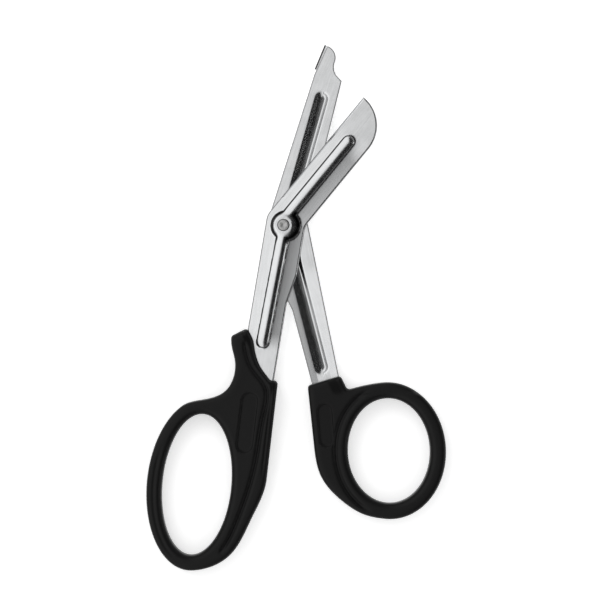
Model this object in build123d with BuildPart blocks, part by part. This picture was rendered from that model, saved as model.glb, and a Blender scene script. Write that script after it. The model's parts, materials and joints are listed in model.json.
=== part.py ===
from build123d import *
import os
from math import atan2, cos, radians, sin, sqrt, tan

# Bandage scissors lying flat, slightly open, with their loops towards -Y and their tips towards +Y.
# Millimetres. The origin is at the middle of the footprint, on the surface they lie on.
# All outlines are drawn from the rivet's axis. A lean is in degrees clockwise from +Y, seen from above.
# On a leaning line, "along" is the distance from the rivet and "across" is the distance to its right.

# Sheet and stack
SHEET = 1.5                 # blade thickness
BLADE_GAP = 0.1             # running gap between the blades' flat inner faces
GRIP_THICKNESS = 9.4        # both handles
EDGE_ROUND = 0.55           # tumbled edges of the sheet
EDGE_BEVEL_WIDTH = 0.7      # ground bevel of a cutting edge, over the face
EDGE_BEVEL_DEPTH = 1.15     # ground bevel of a cutting edge, down the side
EDGE_START = 7.0            # where the ground bevel begins, from the rivet
KNEE_ROUND = 6.0            # where cutting part and shank meet
STEP_ROUND = 5.0            # where the shank steps in
OVERLAP = 0.3               # how far a raised, hollow or ground form is drawn past its face

# Pressed rib, boss and rivet
RIB_WIDTH = 4.7
RIB_HEIGHT = 1.0
GROOVE_WIDTH = 4.3          # hollow behind the rib
BOSS_RADIUS = 5.4
BOSS_HEIGHT = 1.25
BOSS_FLAT_RADIUS = 3.3      # level seat under the rivet's head
BOSS_FLANK_LEAN = 19.0      # degrees that the flank rises at where it leaves the sheet
HOLLOW_INSET = 0.3          # hollow's radius inside the boss's
RIVET_RADIUS = 1.5
RIVET_CLEARANCE = 0.05      # running fit in the front blade
RIVET_HEAD_RADIUS = 2.2
RIVET_HEAD_HEIGHT = 0.75
RIVET_HEAD_ROUND = 0.35
RIVET_HEAD_GAP = 0.06       # under the front head, so that the front blade turns

# Front blade, on the viewer's side
FRONT_LEAN = 39.35          # cutting part
FRONT_EDGE_ACROSS = -6.85
FRONT_SPINE_ACROSS = 6.35
FRONT_TIP_ALONG = 40.7      # centre of the tip's round, which lies on the cutting edge
FRONT_RIB_ACROSS = -0.9
FRONT_RIB_MARGIN = 2.7      # from the rib's end to where the tip's round begins
FRONT_SHANK_LEAN = 9.6
FRONT_SHANK_LEFT = -6.35
FRONT_SHANK_RIGHT = 7.8
FRONT_SHANK_NARROW = 5.95   # right side below the step
FRONT_STEP_START = -17.0
FRONT_STEP_END = -27.5
FRONT_SHANK_RIB_LEAN = 10.8
FRONT_SHANK_RIB_ACROSS = 0.55
FRONT_SHANK_RIB_END = -42.6
FRONT_TANG_START = -60.0
FRONT_TANG_END = -77.0

# Rear blade, with the probe tip
REAR_EDGE_LEAN = 14.0
REAR_EDGE_ACROSS = 7.8
REAR_EDGE_LENGTH = 55.4     # from the rivet to the heel of the probe
REAR_SPINE_LEAN = 17.7
REAR_SPINE_ACROSS = -5.85
REAR_RIB_LEAN = 15.8
REAR_RIB_ACROSS = 0.9
REAR_RIB_MARGIN = 7.8       # from the rib's end to the heel of the probe
REAR_SHANK_LEAN = -11.5
REAR_SHANK_LEFT = -5.4
REAR_SHANK_RIGHT = 8.7
REAR_NARROW_LEAN = -15.0    # left side below the step
REAR_NARROW_LEFT = -4.85
REAR_STEP_START = -22.0
REAR_STEP_END = -30.5
REAR_SHANK_RIB_LEAN = -14.4
REAR_SHANK_RIB_ACROSS = 0.65
REAR_SHANK_RIB_END = -53.0
REAR_TANG_START = -61.0
REAR_TANG_END = -76.0
REAR_TANG_INSET = 1.8       # shoulder on the tang's left

# Probe tip and its folded foot, from the end of the spine: that is level with the heel, across the blade
FOOT_LEAN = 22.6            # outer side of the foot
FOOT_STEP = 0.72            # how far the foot's outer side stands out to the left
FOOT_START = 1.75
FOOT_LENGTH = 9.45
FOOT_THICKNESS = 1.2
FOOT_SETBACK = 1.0          # from the foot's outer side to the flat blade's own edge
FOOT_LAP = 1.9              # level part of the fold, which runs into the blade
FOOT_CORNER = 1.2           # length of the blade's own corner that the fold takes the place of
FOOT_LOWER_ROUND = 2.0      # lower corners of the foot
FOOT_BEND_ROUND = 0.9       # outside of the fold
NOSE_WIDTH = 5.8
NOSE_ROUND = 4.5
FLARE_LENGTH = 3.7          # from the nose's round to a point where it flares out to the cutting edge
FLARE_WIDTH = 1.85

# Tangs inside the handles
TANG_WIDTH = 7.6
TANG_KEY_RADIUS = 1.6       # holes that the plastic flows through
TANG_KEY_SPACING = 8.0

# Finger loops, from the rivet: the opening is an ellipse, and so is most of the wall's outer side
FRONT_LOOP_TOP = (-28.58, -67.98)   # upper end of the opening's long axis
FRONT_LOOP_HALF_LENGTH, FRONT_LOOP_HALF_WIDTH = 25.45, 12.4
FRONT_LOOP_LEAN = 5.8
FRONT_LOOP_WALL = 5.5
FRONT_LOOP_ARC_START = 118.0    # degrees round the ellipse, from the right
FRONT_LOOP_ARC = 157.0
REAR_LOOP_TOP = (37.08, -62.32)
REAR_LOOP_HALF_LENGTH, REAR_LOOP_HALF_WIDTH = 18.85, 14.76
REAR_LOOP_LEAN = -2.7
REAR_LOOP_WALL = 5.7
REAR_LOOP_ARC_START = -98.0
REAR_LOOP_ARC = 190.0
GRIP_EDGE_ROUND = 1.2
LOOP_EDGE_ROUND = 2.2
CORNER_ROUND = 1.4

# Creases and bare panels moulded into the handles' upper faces
CREASE_WIDTH = 1.0
CREASE_DEPTH = 0.6
REAR_CREASE_INSET = 4.4     # from the thumb loop's opening
REAR_CREASE_START = 122.0   # degrees round the ellipse, from the right
REAR_CREASE_ARC = 116.0
PANEL_DEPTH = 0.5
FRONT_PANEL_LENGTH, FRONT_PANEL_WIDTH = 21.5, 5.8
FRONT_PANEL_X, FRONT_PANEL_Y = -13.0, -71.0
FRONT_PANEL_LEAN = 7.0
REAR_PANEL_LENGTH, REAR_PANEL_WIDTH = 15.2, 5.2
REAR_PANEL_X, REAR_PANEL_Y = 15.2, -72.0
REAR_PANEL_LEAN = -4.5

# Front handle's outline, from the rivet: the horn lies beside the blade. A point that belongs to the loop is
# given by its place round the ellipse, in degrees from the right, and by the wall there.
HORN_FRONT = (-11.4, -40.2)
HORN_TIP = (-13.0, -37.0)
HORN_CORNER = (-18.8, -39.9)
HORN_BACK = (-18.75, -41.9)
HORN_WAIST = (-17.4, -49.0)
HORN_ROOT = (-21.2, -59.9)
FRONT_TOP_ANGLE, FRONT_TOP_WALL = 90.5, 5.3
FRONT_HEEL_ANGLE, FRONT_HEEL_WALL = 312.2, 8.05
FRONT_BELLY_ANGLE, FRONT_BELLY_WALL = 343.5, 9.45
FRONT_SIDE_LOW = (-6.0, -91.5)
FRONT_SHOULDER = (-1.9, -56.0)
FRONT_MOUTH_LOW = (-4.7, -55.9)
FRONT_MOUTH = (-8.1, -51.2)
FRONT_MOUTH_HIGH = (-10.2, -45.2)

# Front handle's crease, from the horn down to the loop's lower end
HORN_CREASE = ((-15.05, -40.6), (-12.1, -50.9), (-7.0, -58.2), (-7.9, -68.7))
LOOP_CREASE_ANGLES = (17.6, 338.8, 306.3)
LOOP_CREASE_WALLS = (9.0, 4.8, 4.6)

# Rear handle's outline, given the same two ways
REAR_CORNER = (8.7, -57.8)
REAR_SIDE_LOW = (11.0, -79.5)
REAR_BELLY_ANGLE, REAR_BELLY_WALL = 195.5, 11.05
REAR_HEEL_ANGLE, REAR_HEEL_WALL = 218.9, 8.25
REAR_HEEL_END_ANGLE, REAR_HEEL_END_WALL = 243.9, 6.45
REAR_NOTCH = (23.1, -59.3)
REAR_PEAK = (20.6, -54.2)


def at(lean, along, across):
    """The point at a distance along, and to the right of, a line that leans from +Y through the rivet."""
    c, s = cos(radians(lean)), sin(radians(lean))
    return (along * s + across * c, along * c - across * s)


def crossing(lean_a, across_a, lean_b, across_b):
    """The point where two leaning lines meet."""
    slope_a, slope_b = tan(radians(lean_a)), tan(radians(lean_b))
    x_a, x_b = across_a / cos(radians(lean_a)), across_b / cos(radians(lean_b))
    y = (x_b - x_a) / (slope_a - slope_b)
    return (x_a + slope_a * y, y)


def reach(half_length, half_width, lean, angle):
    """How far a leaning ellipse reaches in the direction that is angle degrees clockwise from +Y."""
    turn = radians(angle - lean)
    return sqrt((half_length * cos(turn)) ** 2 + (half_width * sin(turn)) ** 2)


def round_loop(top, half_length, half_width, lean, angle, wall):
    """The point that stands off a loop's opening by a wall, at an angle round its ellipse from the right."""
    x, y = at(lean, (half_length + wall) * sin(radians(angle)) - half_length,
              (half_width + wall) * cos(radians(angle)))
    return (top[0] + x, top[1] + y)


def front_loop(angle, wall):
    """A point round the front handle's loop."""
    return round_loop(FRONT_LOOP_TOP, FRONT_LOOP_HALF_LENGTH, FRONT_LOOP_HALF_WIDTH, FRONT_LOOP_LEAN,
                      angle, wall)


def rear_loop(angle, wall):
    """A point round the rear handle's loop."""
    return round_loop(REAR_LOOP_TOP, REAR_LOOP_HALF_LENGTH, REAR_LOOP_HALF_WIDTH, REAR_LOOP_LEAN,
                      angle, wall)


def probe(along, across):
    """The point at a distance along the foot's lean, and to its right, from the end of the spine."""
    root = crossing(REAR_SPINE_LEAN, REAR_SPINE_ACROSS, REAR_EDGE_LEAN + 90, -REAR_EDGE_LENGTH)
    x, y = at(FOOT_LEAN, along, across)
    return (root[0] + x, root[1] + y)


# The loops' middles, and the rivet's place, which puts the middle of the footprint at the origin
front_middle = at(FRONT_LOOP_LEAN, -FRONT_LOOP_HALF_LENGTH, 0)
front_middle = (FRONT_LOOP_TOP[0] + front_middle[0], FRONT_LOOP_TOP[1] + front_middle[1])
rear_middle = at(REAR_LOOP_LEAN, -REAR_LOOP_HALF_LENGTH, 0)
rear_middle = (REAR_LOOP_TOP[0] + rear_middle[0], REAR_LOOP_TOP[1] + rear_middle[1])
front_ring_size = (FRONT_LOOP_HALF_LENGTH + FRONT_LOOP_WALL, FRONT_LOOP_HALF_WIDTH + FRONT_LOOP_WALL)
rear_ring_size = (REAR_LOOP_HALF_LENGTH + REAR_LOOP_WALL, REAR_LOOP_HALF_WIDTH + REAR_LOOP_WALL)
left_end = front_middle[0] - reach(*front_ring_size, FRONT_LOOP_LEAN, 90)
right_end = rear_middle[0] + reach(*rear_ring_size, REAR_LOOP_LEAN, 90)
lower_end = front_middle[1] - reach(*front_ring_size, FRONT_LOOP_LEAN, 0)
upper_end = probe(FOOT_START + FOOT_LENGTH, -FOOT_STEP)[1]
RIVET_X = -(left_end + right_end) / 2
RIVET_Y = -(lower_end + upper_end) / 2
SHEAR_HEIGHT = GRIP_THICKNESS / 2

bench = Plane(origin=(RIVET_X, RIVET_Y, 0))
front_inner = bench.offset(SHEAR_HEIGHT + BLADE_GAP / 2)
front_outer = bench.offset(SHEAR_HEIGHT + BLADE_GAP / 2 + SHEET)
rear_inner = bench.offset(SHEAR_HEIGHT - BLADE_GAP / 2)
rear_outer = bench.offset(SHEAR_HEIGHT - BLADE_GAP / 2 - SHEET)


def ridge(face, side, lean, across, start, end, width, height):
    """A round-topped ridge that stands on a face, along a leaning line, with a domed end."""
    sign = 1 if end > start else -1
    tip = face.from_local_coords(Vector(*at(lean, end, across), 0))
    section = Plane(origin=tip, x_dir=Vector(*at(lean, 0, sign), 0), z_dir=Vector(*at(lean, -sign, 0), 0))
    dome_radius = (width ** 2 / 4 + height ** 2) / (2 * height)
    half_way = atan2(width / 2, dome_radius - height) / 2
    shoulder = (dome_radius * sin(half_way), side * (height - dome_radius + dome_radius * cos(half_way)))
    with BuildPart() as bar:
        with BuildSketch(section):
            with BuildLine():
                ThreePointArc((-width / 2, 0), (0, side * height), (width / 2, 0))
                Polyline((width / 2, 0), (width / 2, -side * OVERLAP), (-width / 2, -side * OVERLAP),
                         (-width / 2, 0))
            make_face()
        extrude(amount=abs(end - start))
        with BuildSketch(section):
            with BuildLine():
                ThreePointArc((width / 2, 0), shoulder, (0, side * height))
                Polyline((0, side * height), (0, -side * OVERLAP), (width / 2, -side * OVERLAP),
                         (width / 2, 0))
            make_face()
        revolve(axis=Axis(tip, (0, 0, 1)))
    return bar.part


def boss(face, side, radius, flat_radius, height):
    """A flat-topped round boss that stands on a face, on the rivet's axis."""
    section = Plane(origin=face.origin, x_dir=(1, 0, 0), z_dir=(0, -1, 0))
    flank = (-cos(radians(BOSS_FLANK_LEAN)), side * sin(radians(BOSS_FLANK_LEAN)))
    with BuildPart() as turned:
        with BuildSketch(section):
            with BuildLine():
                Polyline((0, side * height), (0, -side * OVERLAP), (radius, -side * OVERLAP), (radius, 0))
                Spline((radius, 0), (flat_radius, side * height), tangents=(flank, (-1, 0)))
                Line((flat_radius, side * height), (0, side * height))
            make_face()
        revolve(axis=Axis(face.origin, (0, 0, 1)))
    return turned.part


def grinding(face, side, lean, across, inward, start, end):
    """What grinding takes off a cutting edge: a bar whose slanting side is the bevel."""
    section = Plane(origin=face.from_local_coords(Vector(*at(lean, end, across), 0)),
                    x_dir=Vector(*at(lean, 0, 1), 0), z_dir=Vector(*at(lean, -1, 0), 0))
    rise = side * OVERLAP * EDGE_BEVEL_DEPTH / EDGE_BEVEL_WIDTH
    with BuildPart() as bar:
        with BuildSketch(section):
            with BuildLine():
                Polyline((inward * (EDGE_BEVEL_WIDTH + OVERLAP), rise), (-inward * OVERLAP, rise),
                         (-inward * OVERLAP, -side * EDGE_BEVEL_DEPTH - rise), close=True)
            make_face()
        extrude(amount=end - start)
    return bar.part


def rivet_turning(low, high, radius):
    """A round bar on the rivet's axis between two heights."""
    with BuildPart() as bar:
        with BuildSketch(bench.offset(low)):
            Circle(radius)
        extrude(amount=high - low)
    return bar.part


# Pressed forms of the two sheets: each rises on the outer face, and its hollow opens on the inner face
front_rib_end = FRONT_TIP_ALONG - FRONT_RIB_MARGIN
rear_rib_end = REAR_EDGE_LENGTH - REAR_RIB_MARGIN
front_raised = [
    ridge(front_outer, 1, FRONT_LEAN, FRONT_RIB_ACROSS, 0, front_rib_end, RIB_WIDTH, RIB_HEIGHT),
    ridge(front_outer, 1, FRONT_SHANK_RIB_LEAN, FRONT_SHANK_RIB_ACROSS, 0, FRONT_SHANK_RIB_END,
          RIB_WIDTH, RIB_HEIGHT),
    boss(front_outer, 1, BOSS_RADIUS, BOSS_FLAT_RADIUS, BOSS_HEIGHT),
]
front_hollow = [
    ridge(front_inner, 1, FRONT_LEAN, FRONT_RIB_ACROSS, 0, front_rib_end, GROOVE_WIDTH, RIB_HEIGHT),
    ridge(front_inner, 1, FRONT_SHANK_RIB_LEAN, FRONT_SHANK_RIB_ACROSS, 0, FRONT_SHANK_RIB_END,
          GROOVE_WIDTH, RIB_HEIGHT),
    boss(front_inner, 1, BOSS_RADIUS - HOLLOW_INSET, BOSS_FLAT_RADIUS - HOLLOW_INSET, BOSS_HEIGHT),
]
rear_raised = [
    ridge(rear_outer, -1, REAR_RIB_LEAN, REAR_RIB_ACROSS, 0, rear_rib_end, RIB_WIDTH, RIB_HEIGHT),
    ridge(rear_outer, -1, REAR_SHANK_RIB_LEAN, REAR_SHANK_RIB_ACROSS, 0, REAR_SHANK_RIB_END,
          RIB_WIDTH, RIB_HEIGHT),
    boss(rear_outer, -1, BOSS_RADIUS, BOSS_FLAT_RADIUS, BOSS_HEIGHT),
]
rear_hollow = [
    ridge(rear_inner, -1, REAR_RIB_LEAN, REAR_RIB_ACROSS, 0, rear_rib_end, GROOVE_WIDTH, RIB_HEIGHT),
    ridge(rear_inner, -1, REAR_SHANK_RIB_LEAN, REAR_SHANK_RIB_ACROSS, 0, REAR_SHANK_RIB_END,
          GROOVE_WIDTH, RIB_HEIGHT),
    boss(rear_inner, -1, BOSS_RADIUS - HOLLOW_INSET, BOSS_FLAT_RADIUS - HOLLOW_INSET, BOSS_HEIGHT),
]

# Front blade
FRONT_TIP_RADIUS = FRONT_SPINE_ACROSS - FRONT_EDGE_ACROSS
front_tip = at(FRONT_LEAN, FRONT_TIP_ALONG + FRONT_TIP_RADIUS, FRONT_EDGE_ACROSS)
front_tip_middle = at(FRONT_LEAN, FRONT_TIP_ALONG + FRONT_TIP_RADIUS * sin(radians(45)),
                      FRONT_EDGE_ACROSS + FRONT_TIP_RADIUS * cos(radians(45)))
front_tip_end = at(FRONT_LEAN, FRONT_TIP_ALONG, FRONT_SPINE_ACROSS)
front_left_knee = crossing(FRONT_LEAN, FRONT_EDGE_ACROSS, FRONT_SHANK_LEAN, FRONT_SHANK_LEFT)
front_right_knee = crossing(FRONT_LEAN, FRONT_SPINE_ACROSS, FRONT_SHANK_LEAN, FRONT_SHANK_RIGHT)
front_step = (at(FRONT_SHANK_LEAN, FRONT_STEP_START, FRONT_SHANK_RIGHT),
              at(FRONT_SHANK_LEAN, FRONT_STEP_END, FRONT_SHANK_NARROW))
front_tang_middle = (FRONT_SHANK_LEFT + FRONT_SHANK_NARROW) / 2
front_edge_middle = front_outer.from_local_coords(
    Vector(*at(FRONT_LEAN, FRONT_TIP_ALONG / 2, FRONT_EDGE_ACROSS), 0))

with BuildPart() as front_blade:
    with BuildSketch(front_inner) as front_outline:
        with BuildLine():
            ThreePointArc(front_tip, front_tip_middle, front_tip_end)
            Polyline(
                front_tip_end,
                front_right_knee,
                *front_step,
                at(FRONT_SHANK_LEAN, FRONT_TANG_START, FRONT_SHANK_NARROW),
                at(FRONT_SHANK_LEAN, FRONT_TANG_START, front_tang_middle + TANG_WIDTH / 2),
                at(FRONT_SHANK_LEAN, FRONT_TANG_END, front_tang_middle + TANG_WIDTH / 2),
                at(FRONT_SHANK_LEAN, FRONT_TANG_END, front_tang_middle - TANG_WIDTH / 2),
                at(FRONT_SHANK_LEAN, FRONT_TANG_START, front_tang_middle - TANG_WIDTH / 2),
                at(FRONT_SHANK_LEAN, FRONT_TANG_START, FRONT_SHANK_LEFT),
                front_left_knee,
                front_tip,
            )
        make_face()
        for knee in (front_left_knee, front_right_knee):
            fillet(front_outline.vertices().sort_by_distance(knee)[0], KNEE_ROUND)
        for corner in front_step:
            fillet(front_outline.vertices().sort_by_distance(corner)[0], STEP_ROUND)
    extrude(amount=SHEET)
    front_edge = front_blade.edges().sort_by_distance(front_edge_middle)[0]
    front_rim = front_blade.faces().sort_by(Axis.Z)[-1].edges() - ShapeList([front_edge])
    fillet(front_rim, EDGE_ROUND)
    add(grinding(front_outer, 1, FRONT_LEAN, FRONT_EDGE_ACROSS, 1, EDGE_START,
                 FRONT_TIP_ALONG + FRONT_TIP_RADIUS), mode=Mode.SUBTRACT)
    add(front_raised)
    add(front_hollow, mode=Mode.SUBTRACT)
    add(rivet_turning(0, GRIP_THICKNESS, RIVET_RADIUS + RIVET_CLEARANCE), mode=Mode.SUBTRACT)
    with BuildSketch(front_inner):
        for key in (1, 2):
            with Locations(at(FRONT_SHANK_LEAN, FRONT_TANG_END + key * TANG_KEY_SPACING - TANG_KEY_RADIUS,
                              front_tang_middle)):
                Circle(TANG_KEY_RADIUS)
    extrude(amount=SHEET, mode=Mode.SUBTRACT)

# Rear blade, with the blunt probe tip, whose outer side is folded down to the surface as a foot
rear_right_knee = crossing(REAR_EDGE_LEAN, REAR_EDGE_ACROSS, REAR_SHANK_LEAN, REAR_SHANK_RIGHT)
rear_left_knee = crossing(REAR_SPINE_LEAN, REAR_SPINE_ACROSS, REAR_SHANK_LEAN, REAR_SHANK_LEFT)
rear_heel = at(REAR_EDGE_LEAN, REAR_EDGE_LENGTH, REAR_EDGE_ACROSS)
rear_step = (at(REAR_SHANK_LEAN, REAR_STEP_START, REAR_SHANK_LEFT),
             at(REAR_NARROW_LEAN, REAR_STEP_END, REAR_NARROW_LEFT))
rear_tang_middle = TANG_WIDTH / 2 + REAR_TANG_INSET + REAR_NARROW_LEFT
rear_edge_middle = rear_outer.from_local_coords(
    Vector(*at(REAR_EDGE_LEAN, REAR_EDGE_LENGTH / 2, REAR_EDGE_ACROSS), 0))
nose_end = FOOT_START + FOOT_LENGTH
nose_start = nose_end - NOSE_ROUND
nose_across = NOSE_WIDTH - FOOT_STEP
nose_side = probe(nose_start, nose_across)
nose_middle = probe(nose_start + NOSE_ROUND * sin(radians(45)),
                    nose_across - NOSE_ROUND + NOSE_ROUND * cos(radians(45)))
nose_top = probe(nose_end, nose_across - NOSE_ROUND)
foot_section = Plane(
    origin=bench.from_local_coords(Vector(*probe(nose_end, -FOOT_STEP), 0)),
    x_dir=Vector(*at(FOOT_LEAN, 0, 1), 0), z_dir=Vector(*at(FOOT_LEAN, -1, 0), 0))

with BuildPart() as rear_blade:
    with BuildSketch(rear_outer) as rear_outline:
        with BuildLine():
            ThreePointArc(nose_side, nose_middle, nose_top)
            Polyline(
                nose_top,
                probe(nose_end - FOOT_CORNER, FOOT_SETBACK - FOOT_STEP),
                probe(0, 0),
                rear_left_knee,
                *rear_step,
                at(REAR_NARROW_LEAN, REAR_TANG_START, REAR_NARROW_LEFT),
                at(REAR_NARROW_LEAN, REAR_TANG_START, rear_tang_middle - TANG_WIDTH / 2),
                at(REAR_NARROW_LEAN, REAR_TANG_END, rear_tang_middle - TANG_WIDTH / 2),
                at(REAR_NARROW_LEAN, REAR_TANG_END, rear_tang_middle + TANG_WIDTH / 2),
                at(REAR_NARROW_LEAN, REAR_TANG_START, rear_tang_middle + TANG_WIDTH / 2),
                crossing(REAR_SHANK_LEAN, REAR_SHANK_RIGHT, REAR_NARROW_LEAN + 90, -REAR_TANG_START),
                rear_right_knee,
                rear_heel,
            )
            Spline(rear_heel, probe(nose_start - FLARE_LENGTH, nose_across + FLARE_WIDTH), nose_side,
                   tangents=(at(FOOT_LEAN, 1, -2), at(FOOT_LEAN, 1, 0)))
        make_face()
        for knee in (rear_left_knee, rear_right_knee):
            fillet(rear_outline.vertices().sort_by_distance(knee)[0], KNEE_ROUND)
        for corner in rear_step:
            fillet(rear_outline.vertices().sort_by_distance(corner)[0], STEP_ROUND)
    extrude(amount=SHEET)
    rear_edge = rear_blade.edges().sort_by_distance(rear_edge_middle)[0]
    rear_rim = rear_blade.faces().sort_by(Axis.Z)[0].edges() - ShapeList([rear_edge])
    fillet(rear_rim, EDGE_ROUND)
    add(grinding(rear_outer, -1, REAR_EDGE_LEAN, REAR_EDGE_ACROSS, -1, EDGE_START, REAR_EDGE_LENGTH),
        mode=Mode.SUBTRACT)
    add(rear_raised)
    add(rear_hollow, mode=Mode.SUBTRACT)
    add(rivet_turning(0, GRIP_THICKNESS, RIVET_RADIUS), mode=Mode.SUBTRACT)
    with BuildSketch(rear_outer):
        for key in (1, 2):
            with Locations(at(REAR_NARROW_LEAN, REAR_TANG_END + key * TANG_KEY_SPACING - TANG_KEY_RADIUS,
                              rear_tang_middle)):
                Circle(TANG_KEY_RADIUS)
    extrude(amount=SHEET, mode=Mode.SUBTRACT)
    with BuildSketch(foot_section) as foot_profile:
        with BuildLine():
            Polyline((0, 0), (0, SHEAR_HEIGHT - BLADE_GAP / 2), (FOOT_LAP, SHEAR_HEIGHT - BLADE_GAP / 2),
                     (FOOT_LAP, SHEAR_HEIGHT - BLADE_GAP / 2 - SHEET),
                     (FOOT_THICKNESS, SHEAR_HEIGHT - BLADE_GAP / 2 - SHEET), (FOOT_THICKNESS, 0), close=True)
        make_face()
        fillet(foot_profile.vertices().sort_by_distance((0, SHEAR_HEIGHT))[0], FOOT_BEND_ROUND)
        fillet(foot_profile.vertices().sort_by_distance((FOOT_THICKNESS, SHEAR_HEIGHT - SHEET))[0],
               FOOT_BEND_ROUND - FOOT_THICKNESS / 2)
    extrude(amount=FOOT_LENGTH)
    foot_corners = rear_blade.edges().group_by(Axis.Z)[0].filter_by(Axis((0, 0, 0), foot_section.x_dir))
    fillet(foot_corners, FOOT_LOWER_ROUND)

# Rivet: its shank fills the rear blade's hole, and its front head leaves the front blade free to turn
with BuildPart() as pivot_rivet:
    with BuildSketch(rear_outer.offset(-BOSS_HEIGHT)):
        Circle(RIVET_RADIUS)
    extrude(amount=2 * (SHEET + BOSS_HEIGHT) + BLADE_GAP + RIVET_HEAD_GAP)
    with BuildSketch(front_outer.offset(BOSS_HEIGHT + RIVET_HEAD_GAP)):
        Circle(RIVET_HEAD_RADIUS)
    extrude(amount=RIVET_HEAD_HEIGHT)
    with BuildSketch(rear_outer.offset(-BOSS_HEIGHT)):
        Circle(RIVET_HEAD_RADIUS)
    extrude(amount=-RIVET_HEAD_HEIGHT)
    head_rims = pivot_rivet.edges().filter_by(GeomType.CIRCLE).sort_by(Axis.Z)
    fillet([head_rims[0], head_rims[-1]], RIVET_HEAD_ROUND)

# Front handle, moulded over the front blade's tang
with BuildPart() as front_handle:
    with BuildSketch(bench) as front_grip:
        with BuildLine():
            ring = EllipticalCenterArc(
                front_middle, *reversed(front_ring_size), FRONT_LOOP_ARC_START,
                arc_size=FRONT_LOOP_ARC, rotation=-FRONT_LOOP_LEAN)
            Spline(ring @ 1, front_loop(FRONT_HEEL_ANGLE, FRONT_HEEL_WALL),
                   front_loop(FRONT_BELLY_ANGLE, FRONT_BELLY_WALL), FRONT_SIDE_LOW,
                   tangents=(ring % 1, Vector(FRONT_SHOULDER) - Vector(FRONT_SIDE_LOW)))
            Polyline(FRONT_SIDE_LOW, FRONT_SHOULDER, FRONT_MOUTH_LOW)
            Spline(FRONT_MOUTH_LOW, FRONT_MOUTH, FRONT_MOUTH_HIGH, HORN_FRONT,
                   tangents=(Vector(FRONT_MOUTH) - Vector(FRONT_MOUTH_LOW),
                             Vector(HORN_TIP) - Vector(HORN_FRONT)))
            Polyline(HORN_FRONT, HORN_TIP, HORN_CORNER, HORN_BACK)
            Spline(HORN_BACK, HORN_WAIST, HORN_ROOT, front_loop(FRONT_TOP_ANGLE, FRONT_TOP_WALL), ring @ 0,
                   tangents=(Vector(HORN_BACK) - Vector(HORN_CORNER), ring % 0))
        make_face()
        for corner in (FRONT_MOUTH_LOW, FRONT_SHOULDER, HORN_TIP, HORN_CORNER):
            fillet(front_grip.vertices().sort_by_distance(corner)[0], CORNER_ROUND)
    extrude(amount=GRIP_THICKNESS)
    front_rims = front_handle.faces().sort_by(Axis.Z)
    fillet(front_rims[0].edges() + front_rims[-1].edges(), GRIP_EDGE_ROUND)
    with BuildSketch(bench):
        with Locations(front_middle):
            Ellipse(FRONT_LOOP_HALF_WIDTH, FRONT_LOOP_HALF_LENGTH, rotation=-FRONT_LOOP_LEAN)
    extrude(amount=GRIP_THICKNESS, mode=Mode.SUBTRACT)
    front_opening = front_handle.edges().filter_by(GeomType.ELLIPSE)
    fillet(front_opening.sort_by_distance(bench.from_local_coords(
        Vector(*front_middle, 0)))[:1] + front_opening.sort_by_distance(
        bench.from_local_coords(Vector(*front_middle, GRIP_THICKNESS)))[:1], LOOP_EDGE_ROUND)
    add(front_blade.part, mode=Mode.SUBTRACT)
    with BuildSketch(bench.offset(GRIP_THICKNESS)):
        with BuildLine():
            Spline(*HORN_CREASE, *map(front_loop, LOOP_CREASE_ANGLES, LOOP_CREASE_WALLS))
        trace(line_width=CREASE_WIDTH)
    extrude(amount=-CREASE_DEPTH, mode=Mode.SUBTRACT)
    with BuildSketch(bench.offset(GRIP_THICKNESS)):
        with Locations((FRONT_PANEL_X, FRONT_PANEL_Y)):
            SlotOverall(FRONT_PANEL_LENGTH, FRONT_PANEL_WIDTH, rotation=90 - FRONT_PANEL_LEAN)
    extrude(amount=-PANEL_DEPTH, mode=Mode.SUBTRACT)

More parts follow.
